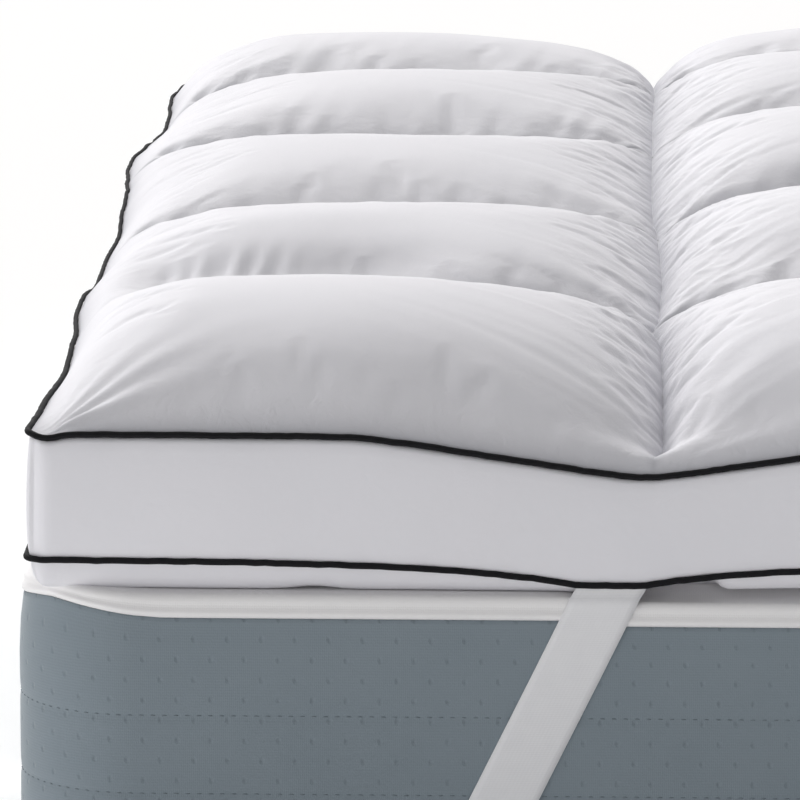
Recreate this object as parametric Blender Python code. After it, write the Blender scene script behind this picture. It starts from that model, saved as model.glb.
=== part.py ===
"""Boxed mattress topper with a grid of filled pockets, lying on the plain mattress it fits.

Metres, +Z up.  The origin is under the middle of the mattress, on the surface it stands on.
+X is across the bed and +Y along it; the end nearest the photograph's viewer is the one at -Y.
A place on the topper's upper side is given in pockets: "across" counts from the left edge and
"along" from the front edge, so the stitched seams lie at the whole numbers.
"""

import math
from collections import namedtuple

import bmesh
import bpy
from mathutils import Vector

# Piece sizes.
GAP = 0.0003

MATTRESS_WIDTH = 1.520
MATTRESS_LENGTH = 2.020
MATTRESS_TOP = 0.250
MATTRESS_CORNER = 0.100
CORNER_STEPS = 7
PANEL_FOOT = 0.225
PANEL_INSET = 0.004
PANEL_ROUND = 0.018
BORDER_ROUND = 0.015
ROUND_STEPS = 5

TOPPER_WIDTH = 1.490
TOPPER_LENGTH = 1.990
TOPPER_CORNER = 0.014
POCKETS_ACROSS = 3
POCKETS_ALONG = 5
STEPS_PER_POCKET = 10
STEP_CROWDING = 0.75

PIPING_RADIUS = 0.0033
PIPING_CLEARANCE = 0.0005
TOP_PIPING_HEIGHT = 0.373
BOTTOM_PIPING_HEIGHT = 0.271

STRAP_WIDTH = 0.050
STRAP_THICKNESS = 0.0015
STRAP_SLANT = math.radians(26.0)
STRAP_FROM_CORNER = 0.479
STRAP_TURN_STEPS = 8
STRAP_RUN_UNDER = 0.010

# Worked out from them.
STRAP_LAYER = STRAP_THICKNESS + GAP
MATTRESS_FOOT = STRAP_LAYER
TOPPER_FOOT = MATTRESS_TOP + GAP
POCKET_WIDTH = TOPPER_WIDTH / POCKETS_ACROSS
POCKET_LENGTH = TOPPER_LENGTH / POCKETS_ALONG

# The wall's drop and bulge.
END_DIP_DEPTH = 0.0345
END_DIP_HALF_WIDTH = 0.225
END_DIP_TIP = 0.018
END_DIP_SOFTNESS = 0.1
END_DIP_FROM_MIDDLE = 0.255
STRAP_PULL_DOWN = 0.018
STRAP_PULL_REACH = 0.10
STRAP_PULL_FLAT = 0.025
WALL_BULGE = 0.009
WALL_BULGE_POWER = 1.2
WALL_BULGE_FREE_OF_CORNER = 0.06
WALL_LEVELS = (0.15, 0.38, 0.62, 0.85, 1.0)
UNDERSIDE_INSET = 0.014
UNDERSIDE_ANGLES = (30, 60, 90)

# How far in from the outline the net of seams is pulled down towards the piping.
SIDE_PULL_REACH = 0.033
END_PULL_REACH = 0.155
PULL_CHOICE = 6.0
SIDE_WAVE_REACH = 0.08

Fullness = namedtuple("Fullness", "flatness power")
# How a pocket rises from each kind of edge: more flatness gives a flatter crown, less power a
# steeper start.
AT_WALL = Fullness(flatness=6.8, power=1.45)
AT_COLUMN_SEAM = Fullness(flatness=2.9, power=0.67)
AT_ROW_SEAM = Fullness(flatness=2.2, power=0.52)
AT_END = Fullness(flatness=1.8, power=0.75)

PocketRow = namedtuple("PocketRow", "seam_behind side_crown middle_crown")
# Heights, for each row of pockets from the front: the seam behind it, and the two crowns.
POCKET_ROWS = (
    PocketRow(seam_behind=0.397, side_crown=0.460, middle_crown=0.469),
    PocketRow(seam_behind=0.405, side_crown=0.447, middle_crown=0.474),
    PocketRow(seam_behind=0.417, side_crown=0.442, middle_crown=0.482),
    PocketRow(seam_behind=0.422, side_crown=0.448, middle_crown=0.477),
    PocketRow(seam_behind=0.412, side_crown=0.453, middle_crown=0.460),
)
FRONT_SEAM_HEIGHT = 0.391

WavePlace = namedtuple("WavePlace", "along lift out")
# How the long side's upper edge wanders from its line, by its place in pockets.
SIDE_WAVE = (
    WavePlace(along=0.0, lift=0.000, out=0.000),
    WavePlace(along=0.7, lift=-0.008, out=-0.008),
    WavePlace(along=1.2, lift=0.000, out=-0.005),
    WavePlace(along=1.5, lift=0.002, out=0.000),
    WavePlace(along=1.75, lift=-0.005, out=-0.004),
    WavePlace(along=2.4, lift=-0.006, out=-0.004),
    WavePlace(along=2.8, lift=0.008, out=0.002),
    WavePlace(along=3.4, lift=0.007, out=0.005),
    WavePlace(along=3.9, lift=-0.002, out=-0.007),
    WavePlace(along=4.5, lift=0.000, out=0.000),
    WavePlace(along=5.0, lift=0.000, out=0.000),
)

Finish = namedtuple("Finish", "colour roughness")
COTTON = Finish(colour=(0.90, 0.90, 0.91), roughness=0.85)
CHARCOAL_CORD = Finish(colour=(0.030, 0.030, 0.034), roughness=0.80)
ELASTIC = Finish(colour=(0.78, 0.78, 0.79), roughness=0.80)
GREY_TICKING = Finish(colour=(0.20, 0.245, 0.275), roughness=0.85)
WHITE_TICKING = Finish(colour=(0.80, 0.80, 0.81), roughness=0.85)


def ease(t):
    """Smooth step from 0 to 1."""
    t = min(max(t, 0.0), 1.0)
    return t * t * (3 - 2 * t)


def from_table(places, values, place):
    """Value at a place between the rows of a table, eased from row to row."""
    for k in range(len(places) - 1):
        if place <= places[k + 1]:
            share = ease((place - places[k]) / (places[k + 1] - places[k]))
            return values[k] * (1 - share) + values[k + 1] * share
    return values[-1]


def side_wave(along):
    """Lift and outward shift of the long side's upper edge at a place along it."""
    places = [row.along for row in SIDE_WAVE]
    lift = from_table(places, [row.lift for row in SIDE_WAVE], along)
    out = from_table(places, [row.out for row in SIDE_WAVE], along)
    return lift, out


def end_dip(x):
    """How far the end wall's upper edge is pulled down by the column seams."""
    depth = 0.0
    for seam in (-END_DIP_FROM_MIDDLE, END_DIP_FROM_MIDDLE):
        rise = 1 - math.hypot(x - seam, END_DIP_TIP) / END_DIP_HALF_WIDTH
        depth = max(depth, (rise + math.hypot(rise, END_DIP_SOFTNESS)) / 2)
    return END_DIP_DEPTH * depth


def strap_pull(x, y, on_end):
    """How far the lower edge is pulled down where the straps are sewn to it."""
    if on_end:
        away = abs(abs(x) - (MATTRESS_WIDTH / 2 - STRAP_FROM_CORNER))
    else:
        away = abs(abs(y) - (MATTRESS_LENGTH / 2 - STRAP_FROM_CORNER))
    return STRAP_PULL_DOWN * math.exp(-max(away - STRAP_PULL_FLAT, 0) / STRAP_PULL_REACH)


def plan_point(across, along):
    """Place on the flat plan, with the outline's corners rounded."""
    half = Vector((TOPPER_WIDTH / 2, TOPPER_LENGTH / 2))
    place = Vector((across * POCKET_WIDTH, along * POCKET_LENGTH)) - half
    into_x = (abs(place.x) - half.x) / TOPPER_CORNER + 1
    into_y = (abs(place.y) - half.y) / TOPPER_CORNER + 1
    if into_x > 0 and into_y > 0:
        round_x = into_x * math.sqrt(1 - into_y * into_y / 2)
        round_y = into_y * math.sqrt(1 - into_x * into_x / 2)
        place.x = math.copysign(half.x - TOPPER_CORNER * (1 - round_x), place.x)
        place.y = math.copysign(half.y - TOPPER_CORNER * (1 - round_y), place.y)
    return place


def seam_height(along):
    """Height of the stitched seams inside the outline."""
    heights = [FRONT_SEAM_HEIGHT] + [row.seam_behind for row in POCKET_ROWS]
    return from_table(range(POCKETS_ALONG + 1), heights, along)


def seam_net_height(across, along, place):
    """Height of the net of seams, pulled down to the piping at the outline."""
    inner = seam_height(along)
    left_lift = side_wave(along)[0]
    right_lift = side_wave(POCKETS_ALONG - along)[0]
    end_height = TOP_PIPING_HEIGHT - end_dip(place.x)
    edges = (
        (across * POCKET_WIDTH / SIDE_PULL_REACH, TOP_PIPING_HEIGHT + left_lift),
        ((POCKETS_ACROSS - across) * POCKET_WIDTH / SIDE_PULL_REACH, TOP_PIPING_HEIGHT + right_lift),
        (along * POCKET_LENGTH / END_PULL_REACH, end_height),
        ((POCKETS_ALONG - along) * POCKET_LENGTH / END_PULL_REACH, end_height),
    )
    nearest = min(away for away, height in edges)
    total = 0.0
    share = 0.0
    free = 1.0
    for away, height in edges:
        weight = math.exp(-PULL_CHOICE * (away - nearest))
        total += weight * (inner - height)
        share += weight
        free *= 1 - math.exp(-away)
    return inner - total / share * (1 - free)


def pocket_profile(place, before, behind):
    """Rise across one pocket, 0 at both seams and 1 in the middle."""
    from_middle = abs(1 - 2 * place)
    rises = [(1 - from_middle ** edge.flatness) ** edge.power for edge in (before, behind)]
    blend = ease(place)
    return rises[0] * (1 - blend) + rises[1] * blend


def pocket_rise(across, along):
    """Share of the pocket's crown at a place, and the height of that crown."""
    column = min(int(across), POCKETS_ACROSS - 1)
    row = min(int(along), POCKETS_ALONG - 1)
    left = AT_WALL if column == 0 else AT_COLUMN_SEAM
    right = AT_WALL if column == POCKETS_ACROSS - 1 else AT_COLUMN_SEAM
    front = AT_END if row == 0 else AT_ROW_SEAM
    behind = AT_END if row == POCKETS_ALONG - 1 else AT_ROW_SEAM
    rise = pocket_profile(across - column, left, right) * pocket_profile(along - row, front, behind)
    in_middle = 0 < column < POCKETS_ACROSS - 1
    crown = POCKET_ROWS[row].middle_crown if in_middle else POCKET_ROWS[row].side_crown
    return rise, crown


def top_point(across, along):
    """Point of the topper's upper side."""
    place = plan_point(across, along)
    rise, crown = pocket_rise(across, along)
    height = seam_net_height(across, along, place) + rise * (crown - seam_height(along))
    left_out = side_wave(along)[1] * math.exp(-across * POCKET_WIDTH / SIDE_WAVE_REACH)
    from_right = (POCKETS_ACROSS - across) * POCKET_WIDTH
    right_out = side_wave(POCKETS_ALONG - along)[1] * math.exp(-from_right / SIDE_WAVE_REACH)
    return Vector((place.x - left_out + right_out, place.y, height))


def stations(pockets):
    """Places along a row of pockets, closer together near the seams."""
    places = []
    for pocket in range(pockets):
        for step in range(STEPS_PER_POCKET):
            even = step / STEPS_PER_POCKET
            crowded = (1 - math.cos(math.pi * even)) / 2
            places.append(pocket + STEP_CROWDING * crowded + (1 - STEP_CROWDING) * even)
    places.append(float(pockets))
    return places


def outline_places():
    """Places round the outline, anticlockwise from the front left corner, each once."""
    columns = stations(POCKETS_ACROSS)
    rows = stations(POCKETS_ALONG)
    front = [(a, 0.0) for a in columns[:-1]]
    right = [(float(POCKETS_ACROSS), b) for b in rows[:-1]]
    back = [(a, float(POCKETS_ALONG)) for a in reversed(columns[1:])]
    left = [(0.0, b) for b in reversed(rows[1:])]
    return front + right + back + left


def outward(points):
    """Mitred outward direction at each point of a closed anticlockwise outline, in plan."""
    sides = []
    for k, point in enumerate(points):
        step = points[(k + 1) % len(points)] - point
        sides.append(Vector((step.y, -step.x, 0)).normalized())
    mitres = []
    for k in range(len(points)):
        before, after = sides[k - 1], sides[k]
        mitres.append((before + after) / (1 + before.dot(after)))
    return mitres


def top_edge():
    """The seam line where the upper side meets the wall."""
    return [top_point(across, along) for across, along in outline_places()]


def bottom_edge():
    """The seam line where the wall meets the underside."""
    points = []
    for across, along in outline_places():
        place = plan_point(across, along)
        on_end = along in (0.0, float(POCKETS_ALONG))
        height = BOTTOM_PIPING_HEIGHT - strap_pull(place.x, place.y, on_end)
        points.append(Vector((place.x, place.y, height)))
    return points


def wall_ring(level):
    """Points of the wall at a level from 0, the top piping, to 1, the bottom piping."""
    ring = []
    upper = top_edge()
    lower = bottom_edge()
    for over, under, out in zip(upper, lower, outward(lower)):
        from_corner = max(TOPPER_WIDTH / 2 - abs(under.x), TOPPER_LENGTH / 2 - abs(under.y))
        free = ease(from_corner / WALL_BULGE_FREE_OF_CORNER)
        bulge = WALL_BULGE * math.sin(math.pi * level) ** WALL_BULGE_POWER * free
        ring.append(over.lerp(under, level) + out * bulge)
    return ring


def underside_ring(angle):
    """Points of the rounded underside, from the bottom piping in to where it lies flat."""
    turn = math.radians(angle)
    ring = []
    lower = bottom_edge()
    for point, out in zip(lower, outward(lower)):
        inset = UNDERSIDE_INSET * (1 - math.cos(turn))
        height = point.z - (point.z - TOPPER_FOOT) * math.sin(turn)
        ring.append(Vector((point.x - out.x * inset, point.y - out.y * inset, height)))
    return ring


def set_finish(thing, finish):
    """Give an object its own plain material."""
    material = bpy.data.materials.new(thing.name)
    material.use_nodes = True
    shader = material.node_tree.nodes["Principled BSDF"]
    shader.inputs["Base Color"].default_value = (*finish.colour, 1)
    shader.inputs["Roughness"].default_value = finish.roughness
    shader.inputs["Metallic"].default_value = 0.0
    thing.data.materials.append(material)


def add_object(name, data, finish):
    """Link an object with its finish to the scene."""
    thing = bpy.data.objects.new(name, data)
    bpy.context.scene.collection.objects.link(thing)
    set_finish(thing, finish)
    return thing


def add_mesh(name, shape, finish, sharp_degrees):
    """Turn a finished bmesh into an object, smooth up to a given edge angle."""
    bmesh.ops.recalc_face_normals(shape, faces=shape.faces)
    mesh = bpy.data.meshes.new(name)
    shape.to_mesh(mesh)
    shape.free()
    mesh.shade_smooth()
    mesh.set_sharp_from_angle(angle=math.radians(sharp_degrees))
    return add_object(name, mesh, finish)


def add_ring(shape, points):
    """Add a ring of points to a bmesh."""
    return [shape.verts.new(point) for point in points]


def bridge(shape, first, second):
    """Join two rings of as many points with a band of quads."""
    for k in range(len(first)):
        after = (k + 1) % len(first)
        shape.faces.new((first[k], first[after], second[after], second[k]))


def make_topper_body():
    """The filled body: one skin over the pockets, the wall and the underside."""
    shape = bmesh.new()
    columns = stations(POCKETS_ACROSS)
    rows = stations(POCKETS_ALONG)
    grid = {}
    for across in columns:
        for along in rows:
            grid[across, along] = shape.verts.new(top_point(across, along))
    for left, right in zip(columns, columns[1:]):
        for front, back in zip(rows, rows[1:]):
            corners = (grid[left, front], grid[right, front], grid[right, back], grid[left, back])
            shape.faces.new(corners)
    ring = [grid[place] for place in outline_places()]
    levels = [wall_ring(level) for level in WALL_LEVELS]
    for points in levels + [underside_ring(angle) for angle in UNDERSIDE_ANGLES]:
        following = add_ring(shape, points)
        bridge(shape, ring, following)
        ring = following
    shape.faces.new(ring)
    add_mesh("topper_body", shape, COTTON, 50)


def make_piping(name, edge):
    """A cord sewn all round along one edge of the wall."""
    reach = PIPING_RADIUS + PIPING_CLEARANCE
    points = [point + out * reach for point, out in zip(edge, outward(edge))]
    curve = bpy.data.curves.new(name, "CURVE")
    curve.dimensions = "3D"
    curve.twist_mode = "Z_UP"
    curve.bevel_depth = PIPING_RADIUS
    curve.bevel_resolution = 1
    spline = curve.splines.new("POLY")
    spline.points.add(len(points) - 1)
    for target, point in zip(spline.points, points):
        target.co = (*point, 1)
    spline.use_cyclic_u = True
    add_object(name, curve, CHARCOAL_CORD)


def rounded_outline(inset, height):
    """Plan outline of the mattress at an inset, at one height."""
    points = []
    half_x = MATTRESS_WIDTH / 2 - MATTRESS_CORNER
    half_y = MATTRESS_LENGTH / 2 - MATTRESS_CORNER
    radius = MATTRESS_CORNER - inset
    for quarter, (side_x, side_y) in enumerate(((1, 1), (-1, 1), (-1, -1), (1, -1))):
        for step in range(CORNER_STEPS + 1):
            angle = math.pi / 2 * (quarter + step / CORNER_STEPS)
            x = side_x * half_x + radius * math.cos(angle)
            y = side_y * half_y + radius * math.sin(angle)
            points.append(Vector((x, y, height)))
    return points


def arc_profile(centre_inset, centre_height, radius, first, last):
    """Inset and height along a rounding; 0 degrees faces out and 90 degrees up."""
    places = []
    for step in range(ROUND_STEPS + 1):
        angle = math.radians(first + (last - first) * step / ROUND_STEPS)
        inset = centre_inset - radius * math.cos(angle)
        places.append((inset, centre_height + radius * math.sin(angle)))
    return places


def panel_profile():
    """Inset and height down the side of the mattress's upper panel."""
    centre_height = MATTRESS_TOP - PANEL_ROUND
    rounding = arc_profile(PANEL_INSET + PANEL_ROUND, centre_height, PANEL_ROUND, 90, 0)
    return rounding + [(PANEL_INSET, PANEL_FOOT)]


def border_profile():
    """Inset and height down the side of the mattress's border, to its flat underside."""
    fullest_height = MATTRESS_TOP * 0.72
    rounding = arc_profile(BORDER_ROUND, MATTRESS_FOOT + BORDER_ROUND, BORDER_ROUND, 0, -90)
    shoulder = [(PANEL_INSET, PANEL_FOOT - GAP), (PANEL_INSET * 0.3, MATTRESS_TOP * 0.82)]
    return shoulder + [(0.0, fullest_height)] + rounding


def make_mattress_piece(name, profile, finish):
    """A closed rounded slab from a side profile that runs from top to bottom."""
    shape = bmesh.new()
    ring = add_ring(shape, rounded_outline(*profile[0]))
    shape.faces.new(ring)
    for inset, height in profile[1:]:
        following = add_ring(shape, rounded_outline(inset, height))
        bridge(shape, ring, following)
        ring = following
    shape.faces.new(ring)
    add_mesh(name, shape, finish, 40)


def offset_profile(profile, distance):
    """Side profile moved outward by a distance, mitred at its corners."""
    sides = []
    for (inset, height), (next_inset, next_height) in zip(profile, profile[1:]):
        sides.append(Vector((height - next_height, next_inset - inset)).normalized())
    moved = []
    for k, (inset, height) in enumerate(profile):
        before = sides[max(k - 1, 0)]
        after = sides[min(k, len(sides) - 1)]
        mitre = (before + after) / (1 + before.dot(after))
        moved.append((inset - mitre.x * distance, height - mitre.y * distance))
    return moved


def strap_side_profile():
    """The mattress side that a strap follows, from under the topper to the underside."""
    under = [(BORDER_ROUND + STRAP_RUN_UNDER, MATTRESS_FOOT)]
    return panel_profile()[1:-1] + border_profile()[1:] + under


def strap_side_sections(distance):
    """Centre and half-width vector of the strap down the end wall, at a distance from it."""
    sections = []
    profile = strap_side_profile()
    half = Vector((STRAP_WIDTH / 2 / math.cos(STRAP_SLANT), 0, 0))
    travelled = 0.0
    for k, (inset, height) in enumerate(offset_profile(profile, distance)):
        if k:
            travelled += math.dist(profile[k], profile[k - 1])
        from_corner = STRAP_FROM_CORNER - travelled * math.tan(STRAP_SLANT)
        sections.append((Vector((from_corner, inset, height)), half))
    return sections


def strap_sections(distance):
    """Centre and half-width vector along the whole strap, measured in from the corner.

    The first coordinate is the way along the end wall and the second along the long side.
    """
    down = strap_side_sections(distance)
    start = down[-1][0]
    chord = (start.x - start.y) * math.sqrt(2)
    turn = math.pi / 2 - 2 * STRAP_SLANT
    radius = chord / 2 / math.sin(turn / 2)
    under = []
    heading = STRAP_SLANT
    place = start.copy()
    for step in range(1, STRAP_TURN_STEPS):
        share = step / STRAP_TURN_STEPS
        middle = STRAP_SLANT + turn * (share - 0.5 / STRAP_TURN_STEPS)
        reach = 2 * radius * math.sin(turn / STRAP_TURN_STEPS / 2)
        place = place + Vector((-math.sin(middle), math.cos(middle), 0)) * reach
        heading = STRAP_SLANT + turn * share
        skew = STRAP_SLANT * (1 - 2 * share)
        width = STRAP_WIDTH / 2 / math.cos(skew)
        lean = heading - skew
        under.append((place.copy(), Vector((math.cos(lean), math.sin(lean), 0)) * width))
    up = []
    for centre, half in reversed(down):
        up.append((Vector((centre.y, centre.x, centre.z)), Vector((half.y, half.x, 0))))
    return down + under + up


def make_strap(name, side_x, side_y):
    """A flat elastic strap round one corner, sewn under the topper at both ends."""
    shape = bmesh.new()
    inner = strap_sections(GAP)
    outer = strap_sections(STRAP_LAYER)
    rings = []
    for (near, near_half), (far, far_half) in zip(inner, outer):
        ring = []
        for place in (near - near_half, near + near_half, far + far_half, far - far_half):
            x = side_x * (MATTRESS_WIDTH / 2 - place.x)
            y = side_y * (MATTRESS_LENGTH / 2 - place.y)
            ring.append(shape.verts.new((x, y, place.z)))
        rings.append(ring)
    for ring, following in zip(rings, rings[1:]):
        bridge(shape, ring, following)
    shape.faces.new(rings[0])
    shape.faces.new(rings[-1])
    add_mesh(name, shape, ELASTIC, 40)


def clear_scene():
    """Remove whatever the open file holds."""
    for thing in list(bpy.data.objects):
        bpy.data.objects.remove(thing, do_unlink=True)


def main():
    clear_scene()
    make_topper_body()
    make_piping("top_piping", top_edge())
    make_piping("bottom_piping", bottom_edge())
    make_mattress_piece("mattress_panel", panel_profile(), WHITE_TICKING)
    make_mattress_piece("mattress_border", border_profile(), GREY_TICKING)
    for end, side_y in (("front", -1), ("back", 1)):
        for side, side_x in (("left", -1), ("right", 1)):
            make_strap(f"strap_{end}_{side}", side_x, side_y)


main()
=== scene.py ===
"""Looks of a boxed mattress topper with filled pockets, lying on its mattress.

Metres, +Z up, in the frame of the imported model.  +X is across the bed and +Y along it.
A place on the quilted side is given in pockets: "across" counts from the left edge and
"along" from the front edge, so the stitched seams lie at the whole numbers.
"""

import math
from collections import namedtuple

import bpy
import numpy as np
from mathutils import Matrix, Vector


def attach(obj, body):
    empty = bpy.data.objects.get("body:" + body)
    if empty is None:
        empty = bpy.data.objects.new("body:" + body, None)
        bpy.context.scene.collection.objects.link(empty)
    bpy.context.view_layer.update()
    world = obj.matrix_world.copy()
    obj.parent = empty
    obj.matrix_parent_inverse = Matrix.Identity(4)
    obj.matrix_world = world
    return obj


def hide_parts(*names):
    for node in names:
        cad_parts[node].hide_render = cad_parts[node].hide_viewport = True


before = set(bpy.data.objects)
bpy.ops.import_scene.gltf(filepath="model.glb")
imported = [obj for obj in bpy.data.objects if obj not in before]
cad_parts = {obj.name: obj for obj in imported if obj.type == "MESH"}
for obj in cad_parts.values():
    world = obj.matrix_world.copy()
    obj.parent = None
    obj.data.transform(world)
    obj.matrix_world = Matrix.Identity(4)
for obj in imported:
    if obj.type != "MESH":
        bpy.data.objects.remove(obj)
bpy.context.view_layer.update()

# ---------------------------------------------------------------- sizes

MATTRESS_WIDTH = 1.520
MATTRESS_LENGTH = 2.020
MATTRESS_TOP = 0.250
MATTRESS_CORNER = 0.100
MATTRESS_FOOT = 0.0018
PANEL_FOOT = 0.2262
PANEL_CORNER_LIFT = 0.013
PANEL_INSET = 0.004
PANEL_ROUND = 0.007
EDGE_SAG = 0.005
EDGE_SAG_FLAT = 0.036
EDGE_SAG_REACH = 0.054
MIDDLE_SAG = 0.0045
BORDER_ROUND = 0.015
GAP = 0.0003

TOPPER_WIDTH = 1.490
TOPPER_LENGTH = 1.990
TOPPER_CORNER = 0.014
TOPPER_FOOT = MATTRESS_TOP + GAP
POCKETS_ACROSS = 3
POCKETS_ALONG = 5
POCKET_WIDTH = TOPPER_WIDTH / POCKETS_ACROSS
POCKET_LENGTH = TOPPER_LENGTH / POCKETS_ALONG

TOP_PIPING_HEIGHT = 0.373
BOTTOM_PIPING_HEIGHT = 0.271
PIPING_RADIUS = 0.0026
PIPING_CLEARANCE = 0.0002
# The cord is drawn tighter into its seam away from the front end.
PIPING_SINK = 0.26
PIPING_SINK_FROM = 0.10
PIPING_SINK_LENGTH = 0.70

STRAP_WIDTH = 0.050
STRAP_THICKNESS = 0.0013
STRAP_SLANT = math.radians(26.0)
STRAP_FROM_CORNER = 0.479
STRAP_START_INSET = 0.0135
STRAP_RUN_UNDER = 0.010
STRAP_BEND_STEPS = 24
STRAP_STRANDS = 8
STRAP_EDGE_THINNING = 0.10

END_DIP_DEPTH = 0.0345
END_DIP_HALF_WIDTH = 0.225
END_DIP_TIP = 0.018
END_DIP_SOFTNESS = 0.1
END_DIP_FROM_MIDDLE = 0.255
CORNER_DIP = 0.0035
CORNER_DIP_PLACE = 0.013
CORNER_DIP_WIDTH = 0.014
STRAP_PULL_DOWN = 0.018
STRAP_PULL_REACH = 0.10
STRAP_PULL_FLAT = 0.025
END_WALL_BULGE = 0.008
SIDE_WALL_BULGE = 0.0032
WALL_BULGE_POWER = 0.42
WALL_BULGE_FREE_OF_CORNER = 0.014

END_PULL_REACH = 0.155
PULL_CHOICE = 6.0
SIDE_WAVE_REACH = 0.08

Fullness = namedtuple("Fullness", "flatness power")
AT_WALL = Fullness(flatness=6.8, power=1.45)
AT_COLUMN_SEAM = Fullness(flatness=2.9, power=0.67)
AT_ROW_SEAM = Fullness(flatness=2.2, power=0.52)
AT_END = Fullness(flatness=1.8, power=0.75)

PocketRow = namedtuple("PocketRow", "seam_behind side_crown middle_crown")
POCKET_ROWS = (
    PocketRow(seam_behind=0.401, side_crown=0.460, middle_crown=0.465),
    PocketRow(seam_behind=0.409, side_crown=0.447, middle_crown=0.470),
    PocketRow(seam_behind=0.421, side_crown=0.442, middle_crown=0.478),
    PocketRow(seam_behind=0.426, side_crown=0.448, middle_crown=0.474),
    PocketRow(seam_behind=0.416, side_crown=0.453, middle_crown=0.468),
)
FRONT_SEAM_HEIGHT = 0.391
# Room under the CAD's crowns for the swelling of the settled cloth.
SIDE_CROWN_EASE = 0.0085
MIDDLE_CROWN_EASE = 0.0110
# Part of a pocket's width, with the lengths over which it starts and ends.
Part = namedtuple("Part", "start rise end fall")
# Lift of the row seams between the two column seams, where the pockets press together.
MIDDLE_SEAM_LIFT = 0.017
MIDDLE_LIFT_PART = Part(start=0.0, rise=0.20, end=1.0, fall=0.20)
MIDDLE_LIFT_FREE_OF_END = 0.20
# The front left pocket is a little flatter towards the column seam.
FRONT_CROWN_LEAN = 0.075
FRONT_LEAN_PART = Part(start=0.45, rise=0.3, end=1.0, fall=0.12)
BACK_SHOULDER_LIFT = 0.0065
BACK_SHOULDER_FROM_SIDE = 0.020
BACK_SHOULDER_ALONG = 4.80
BACK_SHOULDER_SPREAD = 0.07
BACK_SHOULDER_FREE_OF_SIDE = 0.008
BACK_SHOULDER_FREE_OF_END = 0.02

WavePlace = namedtuple("WavePlace", "along lift out reach")
# Lie of a long side's upper edge: its lift, its outward shift, and how far in it pulls the
# cloth down.
SIDE_WAVE = (
    WavePlace(along=0.00, lift=0.0000, out=-0.0020, reach=0.033),
    WavePlace(along=0.30, lift=-0.0030, out=-0.0045, reach=0.033),
    WavePlace(along=0.75, lift=-0.0080, out=-0.0085, reach=0.024),
    WavePlace(along=1.05, lift=-0.0015, out=-0.0070, reach=0.022),
    WavePlace(along=1.35, lift=0.0010, out=0.0000, reach=0.034),
    WavePlace(along=1.50, lift=0.0020, out=0.0000, reach=0.036),
    WavePlace(along=1.75, lift=-0.0050, out=-0.0040, reach=0.044),
    WavePlace(along=2.10, lift=-0.0055, out=-0.0025, reach=0.036),
    WavePlace(along=2.40, lift=-0.0060, out=-0.0045, reach=0.034),
    WavePlace(along=2.65, lift=0.0030, out=-0.0015, reach=0.033),
    WavePlace(along=2.85, lift=0.0080, out=0.0000, reach=0.033),
    WavePlace(along=3.00, lift=0.0075, out=0.0045, reach=0.034),
    WavePlace(along=3.20, lift=0.0075, out=0.0090, reach=0.044),
    WavePlace(along=3.35, lift=0.0070, out=0.0095, reach=0.060),
    WavePlace(along=3.60, lift=0.0040, out=0.0035, reach=0.066),
    WavePlace(along=3.75, lift=0.0000, out=-0.0010, reach=0.056),
    WavePlace(along=3.95, lift=-0.0020, out=-0.0060, reach=0.044),
    WavePlace(along=4.20, lift=-0.0010, out=-0.0045, reach=0.036),
    WavePlace(along=4.35, lift=0.0000, out=-0.0010, reach=0.034),
    WavePlace(along=4.50, lift=0.0000, out=0.0005, reach=0.032),
    WavePlace(along=4.70, lift=-0.0020, out=-0.0040, reach=0.026),
    WavePlace(along=4.85, lift=-0.0050, out=-0.0095, reach=0.024),
    WavePlace(along=5.00, lift=-0.0060, out=-0.0130, reach=0.026),
)

# Sideways drift of the column seams, where the filling pushes them over.
DriftPlace = namedtuple("DriftPlace", "along out")
SEAM_DRIFT = (
    DriftPlace(along=0.00, out=0.0085),
    DriftPlace(along=0.55, out=0.0080),
    DriftPlace(along=0.85, out=0.0070),
    DriftPlace(along=0.93, out=0.0040),
    DriftPlace(along=1.00, out=-0.0010),
    DriftPlace(along=1.07, out=0.0040),
    DriftPlace(along=1.20, out=0.0055),
    DriftPlace(along=1.50, out=0.0080),
    DriftPlace(along=1.80, out=0.0065),
    DriftPlace(along=1.90, out=0.0050),
    DriftPlace(along=2.00, out=0.0045),
    DriftPlace(along=2.10, out=0.0030),
    DriftPlace(along=2.20, out=0.0000),
    DriftPlace(along=2.50, out=-0.0010),
    DriftPlace(along=3.50, out=0.0000),
    DriftPlace(along=4.00, out=0.0020),
    DriftPlace(along=5.00, out=0.0000),
)
SEAM_DRIFT_REACH = 0.07
SEAM_DRIFT_CALM = 0.060
# The seams' channels run out before the outline, and a row seam starts in a small notch.
COLUMN_SEAM_FADE = 0.045
ROW_SEAM_FADE = 0.090
ROW_SEAM_START = 0.036
NOTCH_DEPTH = 0.008
NOTCH_SIZE = 0.009
NOTCH_BEHIND = 0.010
PINCH_DEPTH = 0.014
ROW_PINCH_DEPTH = 0.006
PINCH_REACH = 0.014
PINCH_FREE_OF_EDGE = 0.055

# Cells of the settled cloth and of the finished cloth in one pocket, and their crowding
# towards the seams.
SETTLE_CELLS = (66, 53)
FINE_CELLS = (104, 158)
CELL_CROWDING = 0.35

# ---------------------------------------------------------------- camera of the photograph

CAMERA_PLACE = (-0.25934, -6.50589, 1.47232)
CAMERA_PITCH = math.radians(10.987)
CAMERA_YAW = math.radians(1.970)
SENSOR_WIDTH = 36.0
FRAME_PIXELS = 800.0
FOCAL_PIXELS = 7097.4
CAMERA_SIGHT = 60.0


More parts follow.
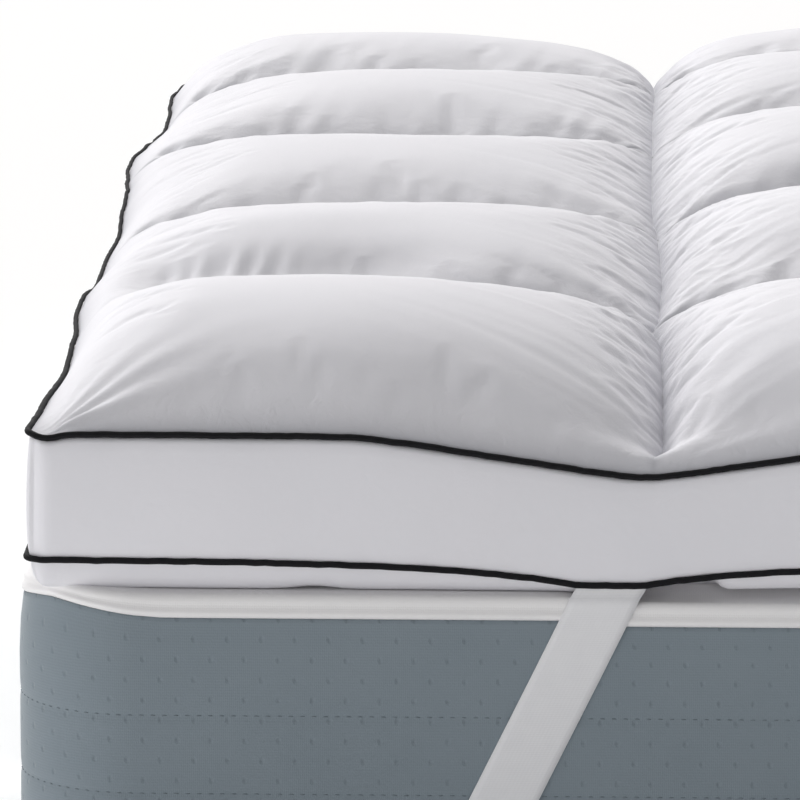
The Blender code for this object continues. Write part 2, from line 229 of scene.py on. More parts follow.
def make_camera():
    """Camera at the photograph's angle, fitted to the seams and the wall."""
    data = bpy.data.cameras.new("camera")
    data.sensor_width = SENSOR_WIDTH
    data.lens = FOCAL_PIXELS / FRAME_PIXELS * SENSOR_WIDTH
    data.clip_end = CAMERA_SIGHT
    camera = bpy.data.objects.new("camera", data)
    camera.location = CAMERA_PLACE
    camera.rotation_euler = (math.pi / 2 - CAMERA_PITCH, 0.0, CAMERA_YAW)
    bpy.context.scene.collection.objects.link(camera)
    bpy.context.scene.camera = camera


# ---------------------------------------------------------------- shape of the quilted side


def ease(t):
    """Smooth step from 0 to 1."""
    t = np.clip(t, 0.0, 1.0)
    return t * t * (3 - 2 * t)


def within_part(place, part):
    """1 inside a part of a pocket's width, easing to 0 at its start and its end."""
    return ease((place - part.start) / part.rise) * ease((part.end - place) / part.fall)


def from_table(places, values, place):
    """Values at places between the rows of a table, eased from row to row."""
    places = np.asarray(places, float)
    values = np.asarray(values, float)
    place = np.clip(place, places[0], places[-1])
    row = np.clip(np.searchsorted(places, place, side="right") - 1, 0, len(places) - 2)
    share = ease((place - places[row]) / (places[row + 1] - places[row]))
    return values[row] * (1 - share) + values[row + 1] * share


def side_wave(along):
    """Lift, outward shift and reach of the pull of the long side's upper edge."""
    places = [row.along for row in SIDE_WAVE]
    lift = from_table(places, [row.lift for row in SIDE_WAVE], along)
    out = from_table(places, [row.out for row in SIDE_WAVE], along)
    reach = from_table(places, [row.reach for row in SIDE_WAVE], along)
    return lift, out, reach


def end_dip(x):
    """How far the end wall's upper edge is pulled down by the column seams."""
    depth = np.zeros_like(x)
    for seam in (-END_DIP_FROM_MIDDLE, END_DIP_FROM_MIDDLE):
        rise = 1 - np.hypot(x - seam, END_DIP_TIP) / END_DIP_HALF_WIDTH
        depth = np.maximum(depth, (rise + np.hypot(rise, END_DIP_SOFTNESS)) / 2)
    from_corner = TOPPER_WIDTH / 2 - np.abs(x) - CORNER_DIP_PLACE
    beside_corner = np.exp(-(from_corner / CORNER_DIP_WIDTH) ** 2)
    return END_DIP_DEPTH * depth + CORNER_DIP * beside_corner


def to_outline(across, along):
    """Distance in metres from the nearest long side and from the nearest end."""
    to_side = np.minimum(across, POCKETS_ACROSS - across) * POCKET_WIDTH
    to_end = np.minimum(along, POCKETS_ALONG - along) * POCKET_LENGTH
    return to_side, to_end


def seam_share(across, along):
    """How deep the channels of the column seams and the row seams are near the outline."""
    to_side, to_end = to_outline(across, along)
    at_side = np.minimum(across, POCKETS_ACROSS - across) < 0.5
    at_end = np.minimum(along, POCKETS_ALONG - along) < 0.5
    column_share = np.where(at_side, 1.0, ease(to_end / COLUMN_SEAM_FADE))
    return column_share, np.where(at_end, 1.0, ease(to_side / ROW_SEAM_FADE))


def seam_drift(across, along):
    """Sideways drift of the cloth round the column seams."""
    places = [row.along for row in SEAM_DRIFT]
    outs = [row.out for row in SEAM_DRIFT]
    drift = np.zeros_like(across)
    for seam in range(1, POCKETS_ACROSS):
        run = along if seam % 2 else POCKETS_ALONG - along
        away = np.abs(across - seam) * POCKET_WIDTH
        drift = drift + from_table(places, outs, run) * np.exp(-away / SEAM_DRIFT_REACH)
    return drift * ease(to_outline(across, along)[1] / SEAM_DRIFT_CALM)


def seam_pinch(across, along):
    """How far the stitching draws the cloth down beside the seams inside the outline."""
    to_column, to_row = from_seams(across, along)
    inner_column = (np.round(across) > 0) & (np.round(across) < POCKETS_ACROSS)
    inner_row = (np.round(along) > 0) & (np.round(along) < POCKETS_ALONG)
    column_pinch = PINCH_DEPTH * np.exp(-np.where(inner_column, to_column, 1.0) / PINCH_REACH)
    row_pinch = ROW_PINCH_DEPTH * np.exp(-np.where(inner_row, to_row, 1.0) / PINCH_REACH)
    to_side, to_end = to_outline(across, along)
    free = ease(np.minimum(to_side, to_end) / PINCH_FREE_OF_EDGE)
    behind = (along - np.round(along)) * POCKET_LENGTH - NOTCH_BEHIND
    start = np.hypot(to_side - ROW_SEAM_START, np.where(inner_row, behind, 1.0))
    notch = NOTCH_DEPTH * np.exp(-(start / NOTCH_SIZE) ** 2)
    return np.maximum(column_pinch, row_pinch) * free + notch


def from_seams(across, along):
    """Distance in metres from the nearest column line and the nearest row line."""
    to_column = np.abs(across - np.round(across)) * POCKET_WIDTH
    to_row = np.abs(along - np.round(along)) * POCKET_LENGTH
    return to_column, to_row


def plan_point(across, along):
    """Places on the flat plan, with the outline's corners rounded."""
    half_x, half_y = TOPPER_WIDTH / 2, TOPPER_LENGTH / 2
    x = across * POCKET_WIDTH - half_x
    y = along * POCKET_LENGTH - half_y
    into_x = (np.abs(x) - half_x) / TOPPER_CORNER + 1
    into_y = (np.abs(y) - half_y) / TOPPER_CORNER + 1
    inside = (into_x > 0) & (into_y > 0)
    round_x = into_x * np.sqrt(np.maximum(1 - into_y * into_y / 2, 0))
    round_y = into_y * np.sqrt(np.maximum(1 - into_x * into_x / 2, 0))
    rounded_x = np.copysign(half_x - TOPPER_CORNER * (1 - round_x), x)
    rounded_y = np.copysign(half_y - TOPPER_CORNER * (1 - round_y), y)
    return np.where(inside, rounded_x, x), np.where(inside, rounded_y, y)


def seam_height(along):
    """Height of the stitched seams inside the outline."""
    heights = [FRONT_SEAM_HEIGHT] + [row.seam_behind for row in POCKET_ROWS]
    return from_table(np.arange(POCKETS_ALONG + 1), heights, along)


def seam_net_height(across, along, x):
    """Height of the net of seams, pulled down to the piping at the outline."""
    inner = seam_height(along)
    end_height = TOP_PIPING_HEIGHT - end_dip(x)
    left_lift, _, left_reach = side_wave(along)
    right_lift, _, right_reach = side_wave(POCKETS_ALONG - along)
    aways = (
        across * POCKET_WIDTH / left_reach,
        (POCKETS_ACROSS - across) * POCKET_WIDTH / right_reach,
        along * POCKET_LENGTH / END_PULL_REACH,
        (POCKETS_ALONG - along) * POCKET_LENGTH / END_PULL_REACH,
    )
    heights = (
        TOP_PIPING_HEIGHT + left_lift,
        TOP_PIPING_HEIGHT + right_lift,
        end_height,
        end_height,
    )
    nearest = np.minimum.reduce(aways)
    total, share, free = 0.0, 0.0, 1.0
    for away, height in zip(aways, heights):
        weight = np.exp(-PULL_CHOICE * (away - nearest))
        total = total + weight * (inner - height)
        share = share + weight
        free = free * (1 - np.exp(-away))
    return inner - total / share * (1 - free)


def pocket_profile(place, before, behind):
    """Rise across one pocket, 0 at both seams and 1 in the middle."""
    from_middle = np.abs(1 - 2 * place)
    rises = [(1 - from_middle ** edge[0]) ** edge[1] for edge in (before, behind)]
    blend = ease(place)
    return rises[0] * (1 - blend) + rises[1] * blend


def back_shoulder(across, along):
    """Fuller edge of the pockets at the back corners, which stands above the piping."""
    lift = 0.0
    for from_side in (across, POCKETS_ACROSS - across):
        away = from_side * POCKET_WIDTH - BACK_SHOULDER_FROM_SIDE
        near_side = (away / BACK_SHOULDER_FROM_SIDE) ** 2
        near_back = ((along - BACK_SHOULDER_ALONG) * POCKET_LENGTH / BACK_SHOULDER_SPREAD) ** 2
        lift = lift + BACK_SHOULDER_LIFT * np.exp(-near_side * 2 - near_back)
    to_side, to_end = to_outline(across, along)
    lift = lift * ease(to_side / BACK_SHOULDER_FREE_OF_SIDE)
    return lift * ease(to_end / BACK_SHOULDER_FREE_OF_END)


def edge_kind(at_outline, outer, inner):
    """Flatness and power of the pocket edge at each place."""
    flatness = np.where(at_outline, outer.flatness, inner.flatness)
    return flatness, np.where(at_outline, outer.power, inner.power)


def quilted_point(across, along):
    """Places on the quilted side before its creases, as an array of points."""
    x, y = plan_point(across, along)
    column = np.clip(across.astype(int), 0, POCKETS_ACROSS - 1)
    row = np.clip(along.astype(int), 0, POCKETS_ALONG - 1)
    left = edge_kind(column == 0, AT_WALL, AT_COLUMN_SEAM)
    right = edge_kind(column == POCKETS_ACROSS - 1, AT_WALL, AT_COLUMN_SEAM)
    front = edge_kind(row == 0, AT_END, AT_ROW_SEAM)
    behind = edge_kind(row == POCKETS_ALONG - 1, AT_END, AT_ROW_SEAM)
    column_share, row_share = seam_share(across, along)
    rise = 1 - (1 - pocket_profile(across - column, left, right)) * column_share
    rise = rise * (1 - (1 - pocket_profile(along - row, front, behind)) * row_share)
    in_middle = (column > 0) & (column < POCKETS_ACROSS - 1)
    middle_crowns = np.array([pocket.middle_crown for pocket in POCKET_ROWS])
    side_crowns = np.array([pocket.side_crown for pocket in POCKET_ROWS])
    middle_crown = middle_crowns[row] - MIDDLE_CROWN_EASE
    crown = np.where(in_middle, middle_crown, side_crowns[row] - SIDE_CROWN_EASE)
    lean = within_part(across - column, FRONT_LEAN_PART)
    rise = rise * (1 - FRONT_CROWN_LEAN * lean * (row == 0) * (column == 0))
    pressed = within_part(across - column, MIDDLE_LIFT_PART) * in_middle
    pressed = pressed * ease(to_outline(across, along)[1] / MIDDLE_LIFT_FREE_OF_END)
    lift = MIDDLE_SEAM_LIFT * pressed
    z = seam_net_height(across, along, x) + lift + rise * (crown - seam_height(along) - lift)
    z = z + back_shoulder(across, along)
    left_out = side_wave(along)[1] * np.exp(-across * POCKET_WIDTH / SIDE_WAVE_REACH)
    from_right = (POCKETS_ACROSS - across) * POCKET_WIDTH
    right_out = side_wave(POCKETS_ALONG - along)[1] * np.exp(-from_right / SIDE_WAVE_REACH)
    x = x - left_out + right_out + seam_drift(across, along)
    return np.stack([x, y, z - seam_pinch(across, along)], axis=-1)


def stations(pockets, cells):
    """Places along a row of pockets, closer together near the seams."""
    even = np.arange(cells) / cells
    crowded = (1 - np.cos(np.pi * even)) / 2
    within = CELL_CROWDING * crowded + (1 - CELL_CROWDING) * even
    places = np.concatenate([pocket + within for pocket in range(pockets)])
    return np.append(places, float(pockets))


def grid_normals(points):
    """Upward unit normals of a grid of points."""
    normals = np.cross(np.gradient(points, axis=0), np.gradient(points, axis=1))
    return normals / np.linalg.norm(normals, axis=-1, keepdims=True)


# ---------------------------------------------------------------- meshes


def link(name, data):
    """New object in the scene, at the origin."""
    thing = bpy.data.objects.new(name, data)
    bpy.context.scene.collection.objects.link(thing)
    return thing


def mesh_object(name, points, faces, uv=None, attributes=None, smooth=True):
    """Object from arrays of points and faces, with a UV map in metres of cloth."""
    mesh = bpy.data.meshes.new(name)
    mesh.from_pydata(points.tolist(), [], faces)
    if smooth:
        mesh.shade_smooth()
    if uv is not None:
        corner = np.empty(len(mesh.loops), np.int32)
        mesh.loops.foreach_get("vertex_index", corner)
        layer = mesh.uv_layers.new(name="cloth")
        layer.data.foreach_set("uv", uv[corner].astype(np.float32).ravel())
    for key, values in (attributes or {}).items():
        layer = mesh.attributes.new(key, "FLOAT", "POINT")
        layer.data.foreach_set("value", values.astype(np.float32))
    mesh.validate()
    return link(name, mesh)


def part_shading(thing, count):
    """Shade the faces of the first points apart from the others, with a sharp rim between."""
    edges = thing.data.edges
    ends = np.empty(len(edges) * 2, np.int32)
    edges.foreach_get("vertices", ends)
    ends = ends.reshape(-1, 2)
    among = ends < count
    rim = np.zeros(count, bool)
    rim[ends.min(axis=1)[among.sum(axis=1) == 1]] = True
    inside = among.all(axis=1)
    sharp = np.zeros(len(edges), bool)
    sharp[inside] = rim[ends[inside]].all(axis=1)
    edges.foreach_set("use_edge_sharp", sharp)


def grid_faces(columns, rows, first=0):
    """Quads of a grid of points, seen from above with columns to the right."""
    index = first + np.arange(columns * rows).reshape(columns, rows)
    corners = (index[:-1, :-1], index[1:, :-1], index[1:, 1:], index[:-1, 1:])
    return np.stack(corners, axis=-1).reshape(-1, 4).tolist()


def band_faces(upper, lower):
    """Quads between two closed rings of point numbers, the upper one anticlockwise."""
    upper, lower = np.asarray(upper), np.asarray(lower)
    corners = (upper, lower, np.roll(lower, -1), np.roll(upper, -1))
    return np.stack(corners, axis=-1).tolist()


def run_along(points):
    """Length along a line at each of its points."""
    steps = np.linalg.norm(np.diff(points, axis=0), axis=-1)
    return np.concatenate([[0], np.cumsum(steps)])


def ring_pile(rings):
    """Points and faces of a solid pile of anticlockwise rings, from the top down."""
    count = len(rings[0])
    points = np.concatenate(rings)
    faces = []
    for level in range(len(rings) - 1):
        upper = np.arange(count) + level * count
        faces += band_faces(upper, upper + count)
    faces.append(list(range(count)))
    faces.append(list(range(count * (len(rings) - 1), count * len(rings)))[::-1])
    return points, faces


def outward(points):
    """Mitred outward direction at each point of a closed anticlockwise outline, in plan."""
    step = np.roll(points, -1, axis=0) - points
    side = np.stack([step[:, 1], -step[:, 0], np.zeros(len(step))], axis=-1)
    side /= np.linalg.norm(side, axis=-1, keepdims=True)
    before = np.roll(side, 1, axis=0)
    return (before + side) / (1 + np.sum(before * side, axis=-1, keepdims=True))


# ---------------------------------------------------------------- settling the cloth

Settle = namedtuple(
    "Settle",
    "frames quality pressure tension shear bending mass damping grow_crown grow_seam reach",
)
SETTLE = Settle(
    frames=20, quality=4, pressure=6.0, tension=20.0, shear=5.0, bending=0.25,
    mass=0.15, damping=5.0, grow_crown=0.008, grow_seam=0.085, reach=0.045,
)
ON_SEAM = 1e-6
OUTLINE_LOOSE = 0.10
OUTLINE_CALM_SHARE = 0.2
OUTLINE_CALM_REACH = 0.13
SETTLE_SEED = 4
SETTLE_RUFFLE = 0.0012
RUFFLE_FREE_OF_SEAM = 0.006
RUFFLE_REACH = 0.05
SETTLE_CAP = 0.030
SIDE_CALM_REACH = 0.12
END_CALM_REACH = 0.085
EASE_LEVELS = 40


def ruffled(points, across, along):
    """Start of the settling: small random lifts near the seams, where the cloth is loose."""
    chance = np.random.default_rng(SETTLE_SEED).normal(size=across.shape)
    for _ in range(2):
        for axis in (0, 1):
            chance = (chance + np.roll(chance, 1, axis) + np.roll(chance, -1, axis)) / 3
    chance /= chance.std()
    nearest = np.minimum(*from_seams(across, along))
    free = np.clip(nearest / RUFFLE_FREE_OF_SEAM, 0, 1) * np.exp(-nearest / RUFFLE_REACH)
    start = points.copy()
    start[..., 2] += SETTLE_RUFFLE * chance * free
    return start


def weight_group(thing, name, weights):
    """Vertex group from an array of weights, in a few dozen levels."""
    group = thing.vertex_groups.new(name=name)
    levels = np.round(weights.ravel() * EASE_LEVELS).astype(int)
    for level in range(EASE_LEVELS + 1):
        chosen = np.flatnonzero(levels == level)
        if len(chosen):
            group.add(chosen.tolist(), level / EASE_LEVELS, "REPLACE")
    return group


def looseness(across, along):
    """Where the cloth has spare length: beside the seams, and less along the outline."""
    to_column, to_row = from_seams(across, along)
    inner_column = (np.round(across) > 0) & (np.round(across) < POCKETS_ACROSS)
    inner_row = (np.round(along) > 0) & (np.round(along) < POCKETS_ALONG)
    inner = np.minimum(np.where(inner_column, to_column, 1.0), np.where(inner_row, to_row, 1.0))
    outer = np.minimum(np.where(inner_column, 1.0, to_column), np.where(inner_row, 1.0, to_row))
    free = ease(np.minimum(*to_outline(across, along)) / OUTLINE_CALM_REACH)
    calm = OUTLINE_CALM_SHARE + (1 - OUTLINE_CALM_SHARE) * free
    at_outline = OUTLINE_LOOSE * np.exp(-outer / SETTLE.reach)
    return np.maximum(np.exp(-inner / SETTLE.reach), at_outline) * calm


def settled_shift(across, along):
    """How a cloth simulation moves the quilted side: the filling lifts the loose cloth."""
    points = quilted_point(across, along)
    start = ruffled(points, across, along)
    cloth = mesh_object("settling_cloth", start.reshape(-1, 3), grid_faces(*across.shape))
    to_column, to_row = from_seams(across, along)
    nearest = np.minimum(to_column, to_row)
    sewn = weight_group(cloth, "sewn", (nearest < ON_SEAM).astype(float))
    loose = weight_group(cloth, "loose", looseness(across, along))
    modifier = cloth.modifiers.new("settle", "CLOTH")
    settings = modifier.settings
    settings.vertex_group_mass = sewn.name
    settings.vertex_group_shrink = loose.name
    settings.shrink_min = -SETTLE.grow_crown
    settings.shrink_max = -SETTLE.grow_seam
    settings.quality = SETTLE.quality
    settings.mass = SETTLE.mass
    settings.tension_stiffness = SETTLE.tension
    settings.compression_stiffness = SETTLE.tension
    settings.shear_stiffness = SETTLE.shear
    settings.bending_stiffness = SETTLE.bending
    settings.air_damping = SETTLE.damping
    settings.use_pressure = True
    settings.uniform_pressure_force = SETTLE.pressure
    settings.effector_weights.gravity = 0.0
    modifier.collision_settings.use_collision = False
    modifier.collision_settings.use_self_collision = False
    scene = bpy.context.scene
    for step in range(1, SETTLE.frames + 1):
        scene.frame_set(step)
    shown = cloth.evaluated_get(bpy.context.evaluated_depsgraph_get())
    settled = np.empty(points.size, np.float32)
    shown.data.vertices.foreach_get("co", settled)
    shift = settled.reshape(points.shape) - points
    bpy.data.objects.remove(cloth, do_unlink=True)
    scene.frame_set(1)
    to_side, to_end = to_outline(across, along)
    shift *= (ease(to_side / SIDE_CALM_REACH) * ease(to_end / END_CALM_REACH))[..., None]
    length = np.linalg.norm(shift, axis=-1, keepdims=True)
    return shift * np.minimum(1.0, SETTLE_CAP / np.maximum(length, 1e-9))


def sample(values, rows, columns):
    """Smooth values of a grid at fractional row and column numbers."""
    for axis, place in ((0, rows), (1, columns)):
        values = np.moveaxis(values, axis, 0)
        last = len(values) - 1
        base = np.clip(np.floor(place).astype(int), 0, last - 1)
        t = (place - base)[(...,) + (None,) * (values.ndim - 1)]
        before, after = values[np.maximum(base - 1, 0)], values[np.minimum(base + 2, last)]
        near, far = values[base], values[base + 1]
        curve = 2 * near + (far - before) * t
        curve = curve + (2 * before - 5 * near + 4 * far - after) * t ** 2
        curve = curve + (3 * (near - far) + after - before) * t ** 3
        values = np.moveaxis(curve / 2, 0, axis)
    return values


# ---------------------------------------------------------------- pleats of the cloth

Pleats = namedtuple("Pleats", "pitch depth short long slant")
# Fine pleats that run away from a seam: their spacing, depth, shortest and longest reach, and
# how far they lean as they leave the seam.
COLUMN_PLEATS = (
    Pleats(pitch=0.0150, depth=0.00060, short=0.018, long=0.060, slant=0.45),
    Pleats(pitch=0.0250, depth=0.00145, short=0.030, long=0.110, slant=0.60),
)
ROW_PLEATS = (
    Pleats(pitch=0.0160, depth=0.00080, short=0.012, long=0.045, slant=0.15),
    Pleats(pitch=0.0290, depth=0.00260, short=0.020, long=0.065, slant=0.20),
)
EDGE_PLEATS = (Pleats(pitch=0.0240, depth=0.00025, short=0.010, long=0.050, slant=0.20),)
# Folds that fan out from the ends of the column seams, from the crossings of the seams and from
# the starts of the row seams.
Fan = namedtuple("Fan", "pitch depth start reach")
SEAM_END_FAN = Fan(pitch=math.radians(10.0), depth=0.0021, start=0.070, reach=0.130)
CROSSING_FAN = Fan(pitch=math.radians(11.0), depth=0.0019, start=0.070, reach=0.120)
SIDE_FAN = Fan(pitch=math.radians(13.0), depth=0.0004, start=0.060, reach=0.120)
# Folds at the outline's corners: direction from the end edge in degrees, height and spread.
Fold = namedtuple("Fold", "turn height spread")
CORNER_FOLDS = (
    Fold(turn=22.0, height=0.0034, spread=6.5),
    Fold(turn=31.0, height=-0.0022, spread=4.5),
    Fold(turn=38.0, height=0.0014, spread=4.0),
    Fold(turn=45.0, height=-0.0018, spread=4.0),
    Fold(turn=53.0, height=0.0009, spread=4.0),
    Fold(turn=60.0, height=-0.0009, spread=4.0),
)
CORNER_FOLD_START = 0.030
CORNER_FOLD_REACH = 0.130
# The corner folds sway by a few degrees as they run out.
CORNER_FOLD_SWAY = 2.5
CORNER_FOLD_WAVE = 0.05
PLEAT_FREE_OF_SEAM = 0.018
PLEAT_START_FROM_END = 0.010
PLEAT_FREE_OF_END = 0.060
PLEAT_FREE_OF_SIDE = 0.130
PLEAT_SHARE_AT_SIDE = 0.35
COLUMN_PLEAT_SEED = 100
ROW_PLEAT_SEED = 500
FAN_SEED = 900
# Each seam line and each kind of pleat draws from seeds of its own, these steps apart.
LINE_SEED_STEP = 10
KIND_SEED_STEP = 40
CORNER_FOLD_SEED = 61
RIDGE_SEED = 77
# Short ridges that stand in the hollow at the left of the second row's first pocket.
RIDGE_PART = Part(start=0.08, rise=0.08, end=0.50, fall=0.20)
RIDGE_PITCH = 0.0115
RIDGE_HEIGHT = 0.0034
RIDGE_AWAY = 0.088
RIDGE_SPREAD = 0.030
RIDGE_SLANT = 0.15
# Dips that make the front of the second row steeper: distance behind the seam, spread and
# depth, and the share of them that each column has.
Dip = namedtuple("Dip", "away spread depth")
HOLLOW_DIPS = (
    Dip(away=0.072, spread=0.054, depth=0.0215),
    Dip(away=0.150, spread=0.045, depth=0.0045),
    Dip(away=0.265, spread=0.060, depth=0.0023),
)
HOLLOW_SHARES = (1.0, 0.45, 0.0)
HOLLOW_PART = Part(start=0.04, rise=0.10, end=0.75, fall=0.30)


def wander(place, pitch, seed):
    """Smooth random line along a seam, about -1 to 1, with a wave every pitch or two."""
    cell = np.floor(place / pitch).astype(int)
    low = cell.min()
    chance = np.random.default_rng(seed).uniform(-1, 1, cell.max() - low + 2)
    share = ease(place / pitch - cell)
    return chance[cell - low] * (1 - share) + chance[cell - low + 1] * share


def pleat_field(away, place, kind, seed):
    """Height of one kind of pleat, by distance from the seam and place along it."""
    leaning = place - kind.slant * away
    reach = kind.short + (kind.long - kind.short) * (wander(leaning, kind.pitch, seed + 1) + 1) / 2
    start = 1 - np.exp(-away / (kind.pitch / 2))
    return kind.depth * wander(leaning, kind.pitch / 2, seed) * start * np.exp(-away / reach)


def fan_field(x, y, centre, fan, seed):
    """Height of folds that fan out from where a seam ends or turns."""
    away = np.hypot(x - centre[0], y - centre[1])
    turn = np.arctan2(y - centre[1], x - centre[0]) + math.pi
    rise = ease(away / fan.start) * np.exp(-away / fan.reach)
    return fan.depth * wander(turn, fan.pitch, seed) * rise


def fan_kind(column, row):
    """Which folds fan out from a crossing of the seams and the outline."""
    if column in (0, POCKETS_ACROSS):
        return SIDE_FAN
    return SEAM_END_FAN if row in (0, POCKETS_ALONG) else CROSSING_FAN


def corner_folds(x, y):
    """Height of the folds that run out from the nearest corner of the outline."""
    from_side = TOPPER_WIDTH / 2 - np.abs(x)
    from_end = TOPPER_LENGTH / 2 - np.abs(y)
    away = np.hypot(from_side, from_end)
    sway = CORNER_FOLD_SWAY * wander(away, CORNER_FOLD_WAVE, CORNER_FOLD_SEED)
    turn = np.degrees(np.arctan2(from_end, from_side)) + sway
    folds = np.zeros_like(x)
    for fold in CORNER_FOLDS:
        folds = folds + fold.height * np.exp(-((turn - fold.turn) / fold.spread) ** 2)
    return folds * ease(away / CORNER_FOLD_START) * np.exp(-(away / CORNER_FOLD_REACH) ** 2)


def hollow_height(across, along, x):
    """The hollow in the front of the second row and the short ridges that stand in it."""
    away = (along - 1) * POCKET_LENGTH
    place = across - np.floor(across)
    share = np.array(HOLLOW_SHARES)[np.clip(across.astype(int), 0, POCKETS_ACROSS - 1)]
    there = share * within_part(place, HOLLOW_PART) * (away > 0) * (along < 2)
    hollow = np.zeros_like(x)
    for dip in HOLLOW_DIPS:
        hollow = hollow + dip.depth * np.exp(-((away - dip.away) / dip.spread) ** 2)
    ridged = within_part(across, RIDGE_PART) * (away > 0)
    ridged = ridged * np.exp(-((away - RIDGE_AWAY) / RIDGE_SPREAD) ** 2)
    ridges = RIDGE_HEIGHT * wander(x - RIDGE_SLANT * away, RIDGE_PITCH, RIDGE_SEED)
    return ridges * ridged - hollow * there


def seam_pleats(lines, place, run, to_line, kinds, seed):
    """Height of the pleats on both sides of a set of parallel seams, the outline included."""
    height = np.zeros_like(run)
    for line in range(lines + 1):
        here = EDGE_PLEATS if line in (0, lines) else kinds
        for side in (-1, 1):
            chosen = (np.abs(place - line) < 0.5) & (np.sign(place - line) == side)
            if not chosen.any():
                continue
            for number, kind in enumerate(here):
                own_seed = seed + LINE_SEED_STEP * line + 2 * side + KIND_SEED_STEP * number
                height[chosen] += pleat_field(to_line[chosen], run[chosen], kind, own_seed)
    return height


def pleat_height(across, along):
    """Height of all the pleats and fans over the quilted side."""
    x, y = plan_point(across, along)
    to_column, to_row = from_seams(across, along)
    to_side, to_end = to_outline(across, along)
    calm = ease((to_end - PLEAT_START_FROM_END) / PLEAT_FREE_OF_END)
    free = ease(to_side / PLEAT_FREE_OF_SIDE)
    calm_side = PLEAT_SHARE_AT_SIDE + (1 - PLEAT_SHARE_AT_SIDE) * free
    column_pleats = seam_pleats(
        POCKETS_ACROSS, across, y, to_column, COLUMN_PLEATS, COLUMN_PLEAT_SEED,
    )
    row_pleats = seam_pleats(POCKETS_ALONG, along, x, to_row, ROW_PLEATS, ROW_PLEAT_SEED)
    height = column_pleats * calm + row_pleats * calm_side
    for column in range(POCKETS_ACROSS + 1):
        for row in range(POCKETS_ALONG + 1):
            centre = plan_point(np.array([column * 1.0]), np.array([row * 1.0]))
            seed = FAN_SEED + LINE_SEED_STEP * column + row
            height += fan_field(x, y, (centre[0][0], centre[1][0]), fan_kind(column, row), seed)
    height += hollow_height(across, along, x) + corner_folds(x, y)
    return height * ease(np.minimum(to_column, to_row) / PLEAT_FREE_OF_SEAM)


# ---------------------------------------------------------------- materials

Finish = namedtuple("Finish", "colour roughness dark light patches")
COTTON = Finish(
    colour=(0.83, 0.823, 0.865), roughness=0.82,
    dark=(0.815, 0.812, 0.855), light=(0.845, 0.835, 0.875), patches=9.0,
)
CHARCOAL_TWILL = Finish(
    colour=(0.017, 0.017, 0.019), roughness=0.85,
    dark=(0.009, 0.009, 0.011), light=(0.022, 0.022, 0.024), patches=160.0,
)
ELASTIC = Finish(
    colour=(0.82, 0.82, 0.84), roughness=0.75,
    dark=(0.82, 0.82, 0.845), light=(0.86, 0.86, 0.88), patches=60.0,
)
GREY_KNIT = Finish(
    colour=(0.225, 0.27, 0.305), roughness=0.85,
    dark=(0.215, 0.26, 0.295), light=(0.24, 0.285, 0.32), patches=14.0,
)
WHITE_KNIT = Finish(
    colour=(0.90, 0.89, 0.90), roughness=0.8,
    dark=(0.885, 0.875, 0.885), light=(0.92, 0.91, 0.91), patches=25.0,
)
THREAD_ROUGHNESS = 0.6
WHITE_THREAD = (0.74, 0.74, 0.75)
GREY_THREAD = (0.185, 0.222, 0.248)
CLOTH_GLOSS = 0.3
CORD_GLOSS = 0.12
# Painted shade: the cloth's colour is darkened down in the channels of the seams, where shade
# falls.
CHANNEL_SHADE = 0.70
CHANNEL_SHADE_COLOUR = (0.55, 0.56, 0.58)
CHANNEL_SHADE_REACH = 0.009
# Fine creases show as bump within this distance of the seams, and everywhere on the wall a bit.
SEAM_CREASE_REACH = 0.05
WALL_CREASES = 0.25
COTTON_THREADS_PER_METRE = 900.0
BORDER_LOOPS_PER_METRE = 620.0
PANEL_LOOPS_PER_METRE = 700.0
DOT_SPACING = 0.027
DOT_ROW_PITCH = 0.033
DOT_SIZE = 0.0024
DOT_LENGTHENED = 0.75
DOT_SHADE = 0.14
DOT_COLOUR = (0.35, 0.36, 0.38)
COTTON_SHEEN = 0.12
COTTON_SHEEN_ROUGHNESS = 0.5
BORDER_SHEEN = 0.25

# Textures, as the inputs of their nodes.
PATCH_DETAIL = 4.0
WEAVE_BANDS = {"Scale": 1.0, "Distortion": 0.4}
COTTON_CREASES = {"Scale": 55.0, "Detail": 5.0, "Roughness": 0.6, "Distortion": 0.8}
CORD_TWILL = {"Scale": 260.0, "Distortion": 1.5, "Detail": 2.0}
ELASTIC_RIBS = {"Scale": 190.0, "Distortion": 0.6, "Detail": 1.0}
ELASTIC_CORDS = {"Scale": 110.0}
KNIT_LOOPS = {"Scale": 1.0, "Randomness": 0.25}
LOOP_WIDTH_TO_LENGTH = 0.7
THREAD_PLY = {"Scale": 1500.0, "Detail": 2.0}

Bump = namedtuple("Bump", "depth strength")
WEAVE_BUMP = Bump(0.00012, 0.35)
CREASE_BUMP = Bump(0.0022, 0.8)
TWILL_BUMP = Bump(0.0004, 0.6)
ELASTIC_BUMP = Bump(0.0002, 0.25)
BORDER_KNIT_BUMP = Bump(0.0005, 0.5)
PANEL_KNIT_BUMP = Bump(0.0004, 0.5)
DOT_BUMP = Bump(0.0015, 0.5)
THREAD_BUMP = Bump(0.0002, 0.5)


def new_material(name, colour, roughness):
    """Principled material with its node tree and its shader."""
    material = bpy.data.materials.new(name)
    material.use_nodes = True
    tree = material.node_tree
    shader = tree.nodes["Principled BSDF"]
    shader.inputs["Base Color"].default_value = (*colour, 1)
    shader.inputs["Roughness"].default_value = roughness
    shader.inputs["Specular IOR Level"].default_value = CLOTH_GLOSS
    return material, tree, shader


def add_node(tree, kind, inputs=None, **settings):
    """New node with its settings; an input is a value or another node's output."""
    node = tree.nodes.new(kind)
    for key, value in settings.items():
        setattr(node, key, value)
    for key, value in (inputs or {}).items():
        if isinstance(value, bpy.types.NodeSocket):
            tree.links.new(value, node.inputs[key])
        else:
            node.inputs[key].default_value = value
    return node


